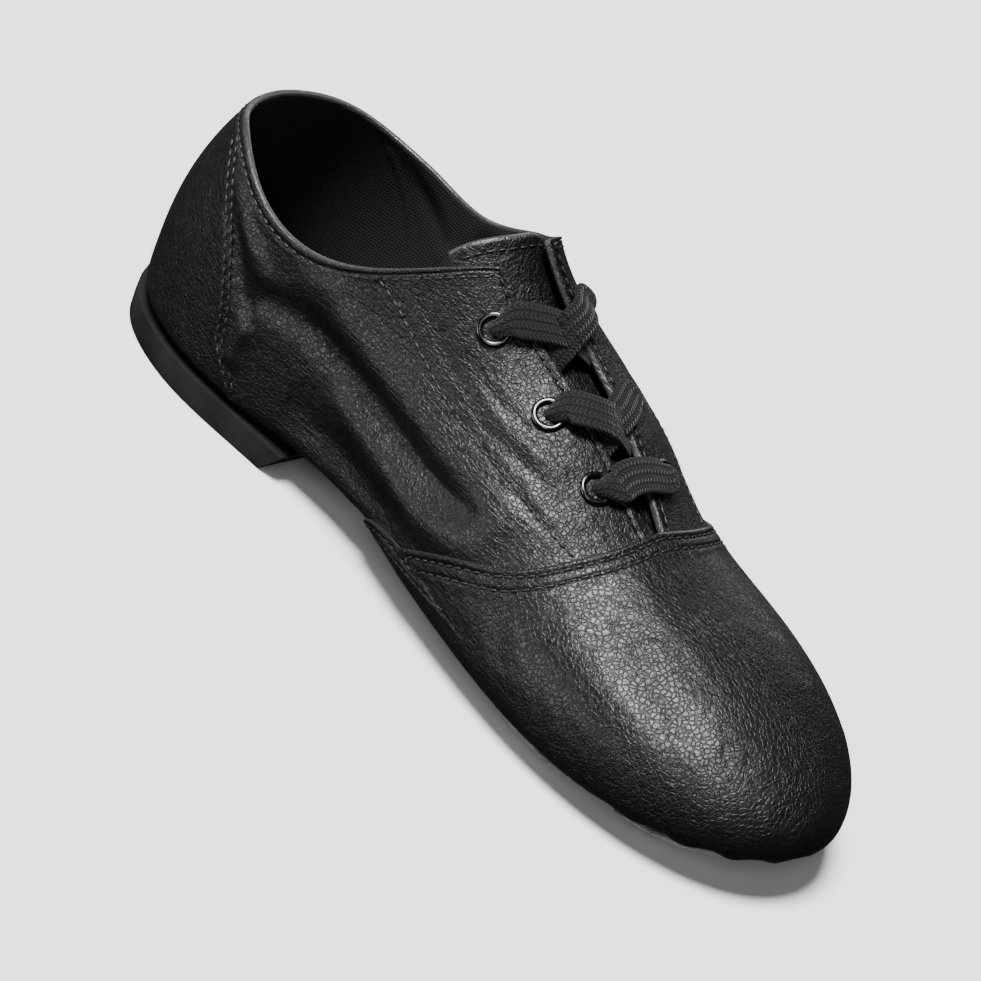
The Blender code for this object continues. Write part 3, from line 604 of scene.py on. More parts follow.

# %% [markdown]
# Leather creases where the foot bends it. Creases could be sculpted or left to a cloth
# simulation, but here each row is one crease that is drawn on the last, so it stays where it was
# drawn: a height in millimetres (below 0 for a trough), a width, and the points that it passes.
# Around the line the leather rises or sinks like a bell, and it fades at the ends.

# %% Creases
# side, height and width in mm, points as share of the length and angle from the ridge
CREASES = (
    (MEDIAL, 1.5, 6.0, ((0.25, 69), (0.31, 71), (0.37, 71), (0.45, 65), (0.52, 60),
                        (0.58, 57), (0.62, 52))),
    (MEDIAL, -2.0, 4.2, ((0.21, 80), (0.26, 78), (0.34, 77), (0.40, 75), (0.46, 71),
                         (0.52, 66), (0.58, 60))),
    (MEDIAL, 1.5, 4.5, ((0.34, 84), (0.40, 82), (0.47, 80), (0.52, 78), (0.57, 72), (0.62, 60))),
    (MEDIAL, -0.5, 1.3, ((0.38, 78), (0.47, 72), (0.54, 65), (0.59, 58))),
    (MEDIAL, -1.4, 5.5, ((0.30, 90), (0.39, 93), (0.47, 89), (0.52, 88))),
    (MEDIAL, 0.9, 2.2, ((0.14, 59), (0.17, 67), (0.21, 73), (0.24, 77))),
    (MEDIAL, -0.9, 2.4, ((0.15, 64), (0.18, 73), (0.21, 80), (0.24, 84))),
    (MEDIAL, 0.9, 2.6, ((0.225, 106), (0.225, 94), (0.225, 86), (0.24, 79))),
    (MEDIAL, -0.45, 1.4, ((0.45, 44), (0.50, 38), (0.54, 34), (0.60, 23))),
    (MEDIAL, 0.5, 2.4, ((0.47, 41), (0.52, 38), (0.57, 33), (0.61, 25))),
    (MEDIAL, -0.4, 1.3, ((0.50, 47), (0.55, 41), (0.59, 36), (0.64, 30))),
    (MEDIAL, -0.4, 1.6, ((0.38, 52), (0.44, 49), (0.50, 44))),
    (MEDIAL, -0.35, 1.2, ((0.56, 50), (0.60, 45), (0.65, 37))),
    (LATERAL, 1.3, 6.0, ((0.26, 70), (0.34, 71), (0.43, 66), (0.52, 60), (0.60, 54))),
    (LATERAL, -1.7, 4.4, ((0.23, 80), (0.31, 78), (0.40, 75), (0.49, 70), (0.57, 62))),
    (LATERAL, 1.2, 4.6, ((0.35, 86), (0.43, 82), (0.51, 79), (0.58, 70))),
    (LATERAL, -0.5, 1.5, ((0.40, 79), (0.48, 73), (0.56, 65))),
    (LATERAL, 0.8, 2.4, ((0.14, 60), (0.18, 68), (0.23, 76))),
    (LATERAL, -0.45, 1.4, ((0.46, 42), (0.52, 37), (0.58, 30))),
    (LATERAL, -1.2, 5.5, ((0.32, 92), (0.42, 94), (0.50, 90))),
    (MEDIAL, -0.5, 5.0, ((0.70, 33), (0.76, 40), (0.84, 48), (0.90, 56))),
    (LATERAL, -0.5, 5.0, ((0.70, 30), (0.77, 38), (0.85, 47), (0.91, 56))),
    (MEDIAL, 0.4, 6.0, ((0.70, 15), (0.77, 18), (0.84, 20))),
    (MEDIAL, -0.5, 3.0, ((0.64, 64), (0.67, 74), (0.70, 84))),
    (LATERAL, -0.5, 3.0, ((0.64, 62), (0.68, 73), (0.71, 84))),
)
CREASE_STEPS = 40


def crease_line(side, points):
    """Points in metres along a smooth line through given points of the last."""
    t = np.linspace(0, len(points) - 1, CREASE_STEPS)
    share = spline(range(len(points)), [p[0] for p in points], t)
    phi = np.radians(spline(range(len(points)), [p[1] for p in points], t))
    return last(*at_share(side, share, phi))


CREASE_DEPTH = 1.5
CREASE_LINES = [(h * MM * CREASE_DEPTH, w * MM, crease_line(side, points))
                for side, h, w, points in CREASES]
CREASE_FADE = np.sin(np.linspace(0, math.pi, CREASE_STEPS)) ** 0.6


def relief(points, lines, fade):
    """How far points move out of the last beside lines, each a height, a width and its points."""
    flat = points.reshape(-1, 3)
    lift = np.zeros(len(flat))
    for height, width, line in lines:
        low, high = line.min(0) - 3 * width, line.max(0) + 3 * width
        near = np.all((flat > low) & (flat < high), axis=1)
        away = np.linalg.norm(flat[near][:, None] - line[None], axis=2)
        lift[near] += height * np.exp(-(away.min(1) / width) ** 2) * fade[away.argmin(1)]
    return lift.reshape(points.shape[:-1])


def creased(points):
    """How far each point moves out of the last because of the creases, which fade at their ends."""
    return relief(points, CREASE_LINES, CREASE_FADE)


print("creases:", len(CREASE_LINES))

# %% [markdown]
# A sewn line presses a groove into the leather and lets it puff beside it. The heel seam runs
# down from the collar on both sides, and the stay seam holds the eyelet strip. Each is kept as
# a line on the last, because the same line carries the stitches later.

# %% Seam lines on the last
# share of the length, angle from the ridge
HEEL_SEAM = (
    (0.075, 43.5), (0.120, 58), (0.160, 71), (0.190, 82), (0.205, 92), (0.225, 112),
    (0.240, 128),
)
SEAM_START, SEAM_STEPS = 4.0 * MM, 80
GROOVE_WIDTH, PUFF_WIDTH = 0.85 * MM, 2.8 * MM
STAY_SEAM = ((0.345, 61), (0.432, 56), (0.513, 50), (0.611, 42), (0.668, 35))


def form_line(side, points):
    """The two angles along a smooth line through given points, below the collar."""
    t = np.linspace(0, len(points) - 1, SEAM_STEPS)
    share = spline(range(len(points)), [p[0] for p in points], t)
    phi = np.radians(spline(range(len(points)), [p[1] for p in points], t))
    theta, phi = at_share(side, share, phi)
    height = seat(share) + COLLAR_HEIGHT * column(COLLAR, 1 if side == LATERAL else 2, share)
    kept = last(theta, phi)[:, 2] < height - SEAM_START
    return theta[kept], phi[kept]


GROOVES = []
for side in (LATERAL, MEDIAL):
    for seam, depth, puff in ((HEEL_SEAM, 0.8 * MM, 0.4 * MM), (STAY_SEAM, 0.45 * MM, 0.2 * MM)):
        line = last(*form_line(side, seam))
        GROOVES += [(-depth, GROOVE_WIDTH, line), (puff, PUFF_WIDTH, line)]


def grooved(points):
    """How far each point moves out of the last because of the sewn grooves."""
    return relief(points, GROOVES, np.ones(SEAM_STEPS))


print("grooves:", len(GROOVES))

# %% [markdown]
# Every leather panel is a closed thin solid, as cut leather is. Solidify could give the wall, but
# it would not fold the edges or thin them, so the inner and the outer face are both worked out.
# A grid of points is joined into quads; where two sides of the shoe meet on the ridge or on the
# bottom line, their equal points are merged. Faces that look inward get the lining.

# %% Mesh helpers
def new_object(name, mesh, *materials):
    """An object for a mesh, at the origin, in its finishes."""
    for one in materials:
        mesh.materials.append(one)
    made = bpy.data.objects.new(name, mesh)
    bpy.context.scene.collection.objects.link(made)
    return made


def grid_mesh(name, points, wrap_columns=False, merge=0.15 * MM, fold=None):
    """A mesh of quads over a grid of points, with the ends of its columns merged where equal.

    fold marks the points of a folded edge, which the leather's finish makes glossier and paints pale
    as a highlight.
    """
    columns, rows = points.shape[:2]
    ids = np.arange(columns * rows).reshape(columns, rows)
    if wrap_columns:
        ids = np.vstack([ids, ids[:1]])
    quads = np.stack([ids[:-1, :-1], ids[:-1, 1:], ids[1:, 1:], ids[1:, :-1]], -1).reshape(-1, 4)
    mesh = bpy.data.meshes.new(name)
    mesh.from_pydata(points.reshape(-1, 3).tolist(), [], quads.tolist())
    if fold is not None:
        mark = mesh.attributes.new("fold", "FLOAT", "POINT")
        mark.data.foreach_set("value", np.ascontiguousarray(fold, np.float32).ravel())
    bm = bmesh.new()
    bm.from_mesh(mesh)
    edge = [v for v in bm.verts if v.is_boundary]
    bmesh.ops.remove_doubles(bm, verts=edge, dist=merge)
    bmesh.ops.dissolve_degenerate(bm, edges=bm.edges, dist=1e-6)
    bmesh.ops.recalc_face_normals(bm, faces=bm.faces)
    bm.to_mesh(mesh)
    bm.free()
    mesh.shade_smooth()
    return mesh


def close(mesh):
    """Fill the open rings that are left in a mesh, and turn its faces outward."""
    bm = bmesh.new()
    bm.from_mesh(mesh)
    bmesh.ops.holes_fill(bm, edges=[e for e in bm.edges if e.is_boundary])
    bmesh.ops.recalc_face_normals(bm, faces=bm.faces)
    bm.to_mesh(mesh)
    bm.free()
    mesh.shade_smooth()
    return mesh


HEART_BACK, HEART_FRONT, HEART_HEIGHT = 20 * MM, 160 * MM, 30 * MM


def line_inside(mesh):
    """Give the faces that look towards the middle of the shoe the mesh's second material."""
    for face in mesh.polygons:
        x, y, z = face.center
        heart = Vector((min(max(x, HEART_BACK), HEART_FRONT), 0.0, HEART_HEIGHT))
        if face.normal.dot(face.center - heart) < 0:
            face.material_index = 1


def report(piece):
    """Print the face count and the box of a piece."""
    size = np.array([v.co for v in piece.data.vertices])
    low, high = (size.min(0) / MM).round(1), (size.max(0) / MM).round(1)
    print(piece.name, len(piece.data.polygons), "faces from", low, "to", high, "mm")


# %% [markdown]
# The quarters wrap the heel and the sides. Their columns run down from the collar or from the
# throat's edge, and the top edge is folded over: a half round as thick as the wall, with a
# pressed row for the stitches below it. They go on for a few millimetres under the vamp, as cut
# leather does, and at the heel they are lasted full over the pad's edge.

# %% Quarters
UNDERLAP = 4.5 * MM
QUARTER_RUN = 0.46 * LENGTH
EDGE_STITCH = 2.6 * MM
CORNER_ROUND = 0.07
QUARTER_COLUMNS, QUARTER_ROWS = 190, 96
FOLD_STEPS, SMALL_TURN, FAR_FROM_EDGE = 6, 0.01, 20 * MM
EDGE_BAND = np.array([[1.3, 1.7, 2.1, 2.5, 2.9, 3.4, 4.0, 4.8]]) * MM
EDGE_PUFF, EDGE_GROOVE, EDGE_GROOVE_REACH = 0.22 * MM, 0.42 * MM, 0.55 * MM
SKIVED, SKIVE_START, INSIDE_CREASE = 0.6 * MM, 0.955, 0.8
HEEL_FULLNESS, HEEL_CORNER, HEEL_CORNER_WIDTH = 2.8 * MM, 145, 13
HEEL_FULL, HEEL_END = 0.25, 0.33


def under_foot(phi):
    """0 on the sides of the shoe and 1 under the foot."""
    return smooth(95, 130, np.degrees(phi))


def quarter_angle(side, turn, phi):
    """Angle round the outline of a quarter's column; 1 is the vamp seam, 0 the heel."""
    return on_side(side, seam_angle(phi) * turn)


def top_edge(side, turn):
    """Angle at which a quarter's column starts, at the collar or at the throat's edge."""
    k = 1 if side == LATERAL else 2
    turn = np.asarray(turn, float)

    def below_collar(phi):
        point = last(quarter_angle(side, turn, phi), phi)
        share = share_of(point)
        return seat(share) + COLLAR_HEIGHT * column(COLLAR, k, share) - point[..., 2]

    def past_gap(phi):
        point = last(quarter_angle(side, turn, phi), phi)
        share = share_of(point)
        gap = THROAT_GAP * column(THROAT, k, share)
        return np.abs(point[..., 1] - centre(share)) - gap + 1e-6

    collar = root(below_collar, np.zeros(turn.shape), np.full(turn.shape, math.pi / 2))
    gap = root(past_gap, np.zeros(turn.shape), np.full(turn.shape, math.pi / 2))
    return soft_max(collar, gap, CORNER_ROUND)


def even_turns(side, count, most):
    """Column places with even steps along both the top edge and the widest level."""
    fine = np.linspace(0, most, 900)
    start = top_edge(side, fine)
    edge = last(quarter_angle(side, fine, start), start)
    low = last(quarter_angle(side, fine, math.pi / 2), math.pi / 2)
    steps = sum(np.linalg.norm(np.diff(line, axis=0), axis=1) for line in (edge, low))
    passed = np.append(0, np.cumsum(steps + 1e-4))
    return np.interp(np.linspace(0, passed[-1], count), passed, fine)


def edge_profile(across):
    """Relief in a band along a folded and stitched edge, by the distance from the edge."""
    puff = EDGE_PUFF * smooth(0, 0.8 * MM, across) * smooth(EDGE_STITCH * 1.9, EDGE_STITCH, across)
    return puff - EDGE_GROOVE * np.exp(-((across - EDGE_STITCH) / EDGE_GROOVE_REACH) ** 2)


def quarter_rows(side, turns):
    """Angles round the section of a quarter's rows, their distance from the edge and their lift."""
    start = top_edge(side, turns)
    here = last(quarter_angle(side, turns, start), start)
    there = last(quarter_angle(side, turns, start + SMALL_TURN), start + SMALL_TURN)
    per_angle = np.linalg.norm(there - here, axis=-1) / SMALL_TURN
    fold = np.linspace(0, math.pi / 2, FOLD_STEPS)[None]
    near = np.hstack([WALL / 2 * (1 - np.cos(fold)), EDGE_BAND])
    lift = np.hstack([WALL / 2 * (np.sin(fold) - 1), 0 * EDGE_BAND])
    first = start + near / per_angle
    down = np.linspace(0, 1, QUARTER_ROWS)[1:][None]
    rest = first[:, -1:] + (math.pi - first[:, -1:]) * down
    phi = np.hstack([first, rest])
    across = np.minimum((phi - start) * per_angle, FAR_FROM_EDGE)
    return phi, across, np.hstack([lift + 0 * start, 0 * rest])


def heel_fullness(theta, phi, share):
    """How far the leather is lasted out, level, over the heel pad's edge."""
    level = last(theta, math.pi / 2) - last(theta, math.pi)
    level[..., 2] = 0
    corner = np.exp(-((np.degrees(phi) - HEEL_CORNER) / HEEL_CORNER_WIDTH) ** 2)
    full = HEEL_FULLNESS * smooth(HEEL_END, HEEL_FULL, share) * corner
    return unit(level) * full[..., None]


def quarter_half(side):
    """Points of one quarter, column by column, from its inner bottom over the fold and down."""
    turns = even_turns(side, QUARTER_COLUMNS, 1 + UNDERLAP / QUARTER_RUN)[:, None]
    phi, across, offset = quarter_rows(side, turns)
    theta = quarter_angle(side, turns, phi)
    base, normal = on_last(theta, phi)
    # the quarter sinks under the vamp, most of all below the foot
    sunk = SKIVED * smooth(SKIVE_START, 1.0, turns) * (0.3 + 0.7 * under_foot(phi))
    shape = creased(base) * smooth(1 * MM, 9 * MM, across) + grooved(base)
    outer = offset + shape + edge_profile(across) - sunk
    inner = -WALL - offset + shape * INSIDE_CREASE - sunk
    outer[:, 0] = inner[:, 0] = -WALL / 2
    outside = base + normal * outer[..., None] + heel_fullness(theta, phi, share_of(base))
    inside = base + normal * inner[..., None]
    return np.concatenate([inside[:, ::-1], outside[:, 1:]], axis=1)


def make_quarters():
    """Both quarters as one closed shell that meets at the heel."""
    lateral, medial = quarter_half(LATERAL), quarter_half(MEDIAL)
    points = np.concatenate([lateral[::-1], medial[1:]], axis=0)
    from_edge = np.abs(np.arange(points.shape[1]) - points.shape[1] // 2)
    # fold is 1 at the crest of the folded edge, where the leather's finish paints a pale highlight
    fold = np.zeros(points.shape[:2]) + np.maximum(0, 1 - from_edge / (FOLD_STEPS - 2))
    mesh = close(grid_mesh("quarters", points, fold=fold))
    line_inside(mesh)
    return new_object("quarters", mesh, leather, lining)


quarters = make_quarters()
report(quarters)

# %% [markdown]
# The vamp covers the forefoot and laps over the quarters. Its back edge is folded and held by
# two rows of stitches about 3 mm apart, with the leather puffed between them. Under the toe it
# gathers in small pleats, as flat leather has to shrink there; a wave round the toe gives them.

# %% Vamp
VAMP_ROWS, VAMP_COLUMNS = 150, 80
VAMP_FOLD_STEPS = 5
VAMP_STITCHES = (2.0 * MM, 5.2 * MM)
VAMP_BAND = np.array([0.7, 1.0, 1.4, 1.7, 2.0, 2.3, 2.6, 3.0, 3.5, 4.0, 4.4, 4.8, 5.2, 5.6, 6.0,
                      6.6, 7.4, 8.4]) * MM
VAMP_THINNED, VAMP_LENGTH, INNER_VAMP = 0.65 * MM, 90 * MM, 0.3 * MM
VAMP_PUFF, VAMP_GROOVE, GROOVE_REACH = 0.20 * MM, 0.45 * MM, 0.5 * MM
PLEAT_COUNT, PLEAT_HEIGHT = 34, 0.55 * MM


def seam_scale(side, phi):
    """Metres across the vamp seam for each radian round the outline."""
    d = 0.004
    theta = seam_angle(phi)
    ahead = (last(on_side(side, theta + d), phi) - last(on_side(side, theta - d), phi)) / (2 * d)
    along = (last(on_side(side, seam_angle(phi + d)), phi + d)
             - last(on_side(side, seam_angle(np.maximum(phi - d, 0))), np.maximum(phi - d, 0)))
    return np.linalg.norm(np.cross(ahead, unit(along)), axis=-1)


def vamp_angle(side, phi, across):
    """Angle round the outline at a distance in front of the vamp seam."""
    return on_side(side, seam_angle(phi) + across / seam_scale(side, phi))


def vamp_relief(across):
    """Height of the puffed leather and the pressed rows in front of the vamp's back edge."""
    puff = VAMP_PUFF * smooth(0, 0.7 * MM, across) * smooth(8 * MM, 5.6 * MM, across)
    pressed = sum(np.exp(-((across - row) / GROOVE_REACH) ** 2) for row in VAMP_STITCHES)
    return puff - VAMP_GROOVE * pressed


def vamp_half(side):
    """Outer and inner points of one side of the vamp, from its edge to the toe."""
    phi = np.linspace(0, math.pi, VAMP_ROWS)[None]
    half = VAMP_STEP / 2
    fold = np.linspace(0, math.pi / 2, VAMP_FOLD_STEPS)
    near = np.append(half * (1 - np.cos(fold)), VAMP_BAND)[:, None]
    lift = np.append(half * (1 + np.sin(fold)), 0 * VAMP_BAND + VAMP_STEP)[:, None]
    low = np.append(half * (1 - np.sin(fold)), 0 * VAMP_BAND)[:, None]
    first = seam_angle(phi) + near / seam_scale(side, phi)
    further = np.linspace(0, 1, VAMP_COLUMNS)[1:, None]
    rest = first[-1:] + (math.pi - first[-1:]) * further
    theta = on_side(side, np.vstack([first, rest]))
    phis = phi + 0 * theta
    across = np.vstack([near + 0 * phi, near[-1] + further * VAMP_LENGTH + 0 * phi])
    out = np.vstack([lift + 0 * phi, VAMP_STEP + 0 * rest])
    under = np.vstack([low + 0 * phi, 0 * rest])
    below = under_foot(phis)
    base, normal = on_last(theta, phis)
    share = share_of(base)
    pleat_zone = (smooth(0.80, 0.93, share) * smooth(104, 118, np.degrees(phis))
                  * smooth(165, 146, np.degrees(phis)))
    pleats = PLEAT_HEIGHT * pleat_zone * np.sin(PLEAT_COUNT * theta)
    shape = creased(base) - pleats
    thin = VAMP_THINNED * below
    outer = out - thin + shape + vamp_relief(across) * (1 - 0.5 * below)
    step = smooth(UNDERLAP, UNDERLAP + 1.5 * MM, across)
    inner = under - thin - step * (WALL - INNER_VAMP) + shape
    inner[0] = outer[0] = (half - thin)[0]
    return base + normal * outer[..., None], base + normal * inner[..., None]


def make_vamp():
    """Both sides of the vamp as one closed shell."""
    (left_out, left_in), (right_out, right_in) = vamp_half(LATERAL), vamp_half(MEDIAL)
    outer = np.concatenate([left_out, right_out[-2::-1]], axis=0)
    inner = np.concatenate([left_in, right_in[-2::-1]], axis=0)
    points = np.concatenate([outer, inner[-2:0:-1]], axis=0)
    fold = np.zeros(points.shape[:2])
    # the folded back edge, which the leather's finish paints pale as a highlight
    fold[:VAMP_FOLD_STEPS] = 1
    mesh = grid_mesh("vamp", points, wrap_columns=True, fold=fold)
    line_inside(mesh)
    return new_object("vamp", mesh, leather, lining)


vamp = make_vamp()
report(vamp)

# %% [markdown]
# The tongue is a loose leaf of leather under the throat. Its top edge is cut nearly straight, with
# one row of stitches, and it stands a little above the quarters. Its rounded rim has a smoother
# gloss and a pale colour as a painted highlight. The insole is a lined sheet on the floor of the
# shoe. Both are sheets at a depth below the last, so they cannot cut through the upper.

# %% Tongue and insole
TONGUE_WIDTH, TONGUE_THICKNESS, TONGUE_DROP = 0.042, 0.0016, 0.0015
TONGUE_TOP, TONGUE_TOE, TONGUE_TAPER = 0.419, 0.750, 0.25
TONGUE_CORNERS = {LATERAL: 0.405, MEDIAL: 0.384}
TONGUE_STITCH = 2.2 * MM / (TONGUE_TOE - TONGUE_TOP) / LENGTH
TONGUE_SAG, TONGUE_GROOVE, LEAF_FOLD = 0.5 * MM, 0.3 * MM, 0.7
INSOLE_SHARE, INSOLE_THICKNESS = 0.77, 0.0020


def tongue_place(ahead, across):
    """The two angles of a place on the tongue, and how deep it lies under the last."""
    corner = np.where(across > 0, TONGUE_CORNERS[LATERAL], TONGUE_CORNERS[MEDIAL])
    top = TONGUE_TOP + (corner - TONGUE_TOP) * across ** 2
    share = top + (TONGUE_TOE - top) * ahead
    half = TONGUE_WIDTH / 2 * (1 - TONGUE_TAPER * ahead)
    theta, phi = on_top(share, centre(share) + across * half)
    drop = SHEET_CLEARANCE + TONGUE_DROP * np.cos(math.pi / 2 * np.minimum(1, ahead * 1.3))
    return theta, np.maximum(phi, POLE_MARGIN), WALL + drop


def leaf(name, base, normal, deep, thickness, *materials):
    """A thin closed sheet with a half round edge that gets a smoother gloss and a painted highlight,
    from a grid of its outer face.
    """
    half = thickness / 2
    outer, inner = base - normal * deep[..., None], base - normal * (deep + thickness)[..., None]
    middle = (outer + inner) / 2
    outer[[0, -1]] = middle[[0, -1]]
    inner[[0, -1]] = middle[[0, -1]]
    outer[:, [0, -1]] = middle[:, [0, -1]]
    inner[:, [0, -1]] = middle[:, [0, -1]]
    for k, part in ((1, 0.66), (2, 0.94)):
        for face in (outer, inner):
            for index in ((k, slice(k, -k)), (-1 - k, slice(k, -k)), (slice(k, -k), k),
                          (slice(k, -k), -1 - k)):
                face[index] = middle[index] + (face[index] - middle[index]) * part
    columns, rows = base.shape[:2]
    upper_ids = np.arange(columns * rows).reshape(columns, rows)
    quads = []
    for ids, turn in ((upper_ids, 1), (upper_ids + columns * rows, -1)):
        four = np.stack([ids[:-1, :-1], ids[:-1, 1:], ids[1:, 1:], ids[1:, :-1]], -1).reshape(-1, 4)
        quads += four[:, ::turn].tolist()
    mesh = bpy.data.meshes.new(name)
    mesh.from_pydata(np.concatenate([outer, inner]).reshape(-1, 3).tolist(), [], quads)
    fold = np.zeros((2, columns, rows), np.float32)
    # the rounded rim, which the leather's finish paints pale as a highlight
    fold[:, [0, 1, -2, -1]] = fold[:, :, [0, 1, -2, -1]] = LEAF_FOLD
    mesh.attributes.new("fold", "FLOAT", "POINT").data.foreach_set("value", fold.ravel())
    bm = bmesh.new()
    bm.from_mesh(mesh)
    bmesh.ops.remove_doubles(bm, verts=[v for v in bm.verts if v.is_boundary], dist=1e-6)
    bmesh.ops.recalc_face_normals(bm, faces=bm.faces)
    bm.to_mesh(mesh)
    bm.free()
    mesh.shade_smooth()
    return new_object(name, mesh, *materials)


def close_ends(count, fine=4):
    """Places from 0 to 1, with a few close together at both ends for the rounded edge."""
    ends = np.array([0.0, 0.004, 0.010, 0.018])[:fine]
    return np.concatenate([ends, np.linspace(0.03, 0.97, count), 1 - ends[::-1]])


def make_tongue():
    """The tongue, sagging a little between the throat's edges."""
    ahead, across = np.meshgrid(close_ends(80), 2 * close_ends(46) - 1, indexing="ij")
    theta, phi, deep = tongue_place(ahead, across)
    base, normal = on_last(theta, phi)
    sag = TONGUE_SAG * np.cos(math.pi / 2 * across) ** 2 * smooth(0.05, 0.3, ahead)
    row = TONGUE_GROOVE * np.exp(-((ahead / TONGUE_STITCH - 1) * 4) ** 2)
    return leaf("tongue", base, normal, deep + sag + row, TONGUE_THICKNESS, leather)


def make_insole():
    """The insole: columns round the shoe that run in to its bottom line."""
    turns = np.linspace(0, 2 * math.pi, 161)[:-1]
    outer = last(turns, math.pi / 2)
    low = last(turns, math.pi)

    def inside(phi):
        point = last(turns, phi)
        reach = np.hypot(*(low - outer)[:, :2].T) * INSOLE_SHARE
        return reach - np.hypot(*(point - low)[:, :2].T)

    edge = root(inside, np.full(turns.shape, math.pi / 2), np.full(turns.shape, math.pi))
    share = np.array([0.0, 0.008, 0.02, 0.05, 0.1, 0.2, 0.32, 0.45, 0.6, 0.75, 0.9, 1.0])
    phi = edge[:, None] + (math.pi - edge[:, None]) * share
    theta = turns[:, None] + 0 * phi
    base, normal = on_last(theta, phi)
    round_edge = np.sqrt(1 - (1 - np.minimum(share * 20, 1)) ** 2)[None, :, None]
    deep = WALL + SHEET_CLEARANCE
    middle = base - normal * (deep + INSOLE_THICKNESS / 2)
    top = middle - normal * INSOLE_THICKNESS / 2 * round_edge
    under = middle + normal * INSOLE_THICKNESS / 2 * round_edge
    points = np.concatenate([top[:, ::-1], under[:, 1:]], axis=1)
    mesh = grid_mesh("insole", points, wrap_columns=True, merge=0.4 * MM)
    return new_object("insole", mesh, lining)


tongue = make_tongue()
insole = make_insole()
report(tongue)
report(insole)

# %% [markdown]
# Three pads make the split sole, which lets the arch bend. The suede pads are thin sheets glued
# and sewn under the forefoot and the toe, with a slightly uneven hand-cut edge. They are built
# as rings at growing insets from their outline, so that the edge can be rounded and the stitch
# rows pressed in. The heel pad is a rubber block whose edges are a little worn.

# %% Sole pads
PAD_STITCHES = (3.0 * MM, 7.0 * MM)
PAD_GROOVE, PAD_GROOVE_REACH, PAD_WAVE, PAD_WAVE_END = 0.25 * MM, 0.6 * MM, 0.35 * MM, 2 * MM
HEEL_PAD_WEAR, HEEL_PAD_SWELL, SHARP_DEGREES = 0.6 * MM, 0.1 * MM, 50


def egg(inset=0.0, count=180):
    """Plan outline of the forefoot pad, its narrow end towards the arch."""
    turn = np.linspace(0, 2 * math.pi, count, endpoint=False)
    half_length, half_width = FOREFOOT_PAD_LENGTH / 2 - inset, FOREFOOT_PAD_WIDTH / 2 - inset
    x = FOREFOOT_PAD_CENTRE * LENGTH - HEEL_SEAT + half_length * np.cos(turn)
    y = half_width * np.sin(turn) * (1 + FOREFOOT_PAD_BLUNT * np.cos(turn))
    return x, y + centre(FOREFOOT_PAD_CENTRE)


def crescent(inset=0.0, count=60):
    """Plan outline of the toe pad, a closed ring of points."""
    middle = FOREFOOT_PAD_CENTRE * LENGTH - HEEL_SEAT
    half = TOE_PAD_WIDTH / 2 - inset
    swing = np.sin(np.linspace(-math.pi / 2, math.pi / 2, count))
    pad_length, pad_width = FOREFOOT_PAD_LENGTH / 2, FOREFOOT_PAD_WIDTH / 2 * TOE_PAD_HOLLOW
    inner = middle + inset + (pad_length + TOE_PAD_GAP) * np.sqrt(
        1 - (swing * half / (pad_width + TOE_PAD_GAP)) ** 2)
    horn = inner[0] + TOE_PAD_HORN * max(0, 1 - inset / (5 * MM))
    bulge = LENGTH - HEEL_SEAT - TOE_PAD_MARGIN - inset - horn
    outer = horn + bulge * np.sqrt(np.maximum(0, 1 - np.abs(swing) ** TOE_PAD_ROUND))
    y = centre(0.9) + swing * half
    return np.append(inner, outer[::-1]), np.append(y, y[::-1])


def pad_mesh(name, ring, depth, finish_of):
    """A suede sheet under the last: rings of an outline at growing insets, with a soft edge."""
    half = PAD_THICKNESS / 2
    turn = np.linspace(0, math.pi / 2, 5)
    insets = np.append(half * (1 - np.cos(turn)), np.linspace(half, depth, 14)[1:])
    rise = half * np.sqrt(1 - (1 - np.minimum(insets / half, 1)) ** 2)
    rings = np.array([np.stack(ring(i), -1) for i in insets]).transpose(1, 0, 2)
    wave = PAD_WAVE * np.sin(np.arange(len(rings)) * 1.7) * np.sin(np.arange(len(rings)) * 0.37)
    middle = rings[:, -1:].mean(0, keepdims=True)
    away = rings - middle
    rings = rings + away / np.linalg.norm(away, axis=-1, keepdims=True).clip(1e-6) * (
        wave[:, None, None] * (insets < PAD_WAVE_END)[None, :, None])
    level = underside(rings[..., 0], rings[..., 1]) - CLEARANCE - half
    groove = PAD_GROOVE * sum(np.exp(-((insets - row) / PAD_GROOVE_REACH) ** 2)
                              for row in PAD_STITCHES)
    top = np.concatenate([rings, (level + rise)[..., None]], -1)
    low = np.concatenate([rings, (level - rise + groove)[..., None]], -1)
    points = np.concatenate([top[:, ::-1], low[:, 1:]], axis=1)
    return new_object(name, close(grid_mesh(name, points, wrap_columns=True, merge=0)), finish_of)


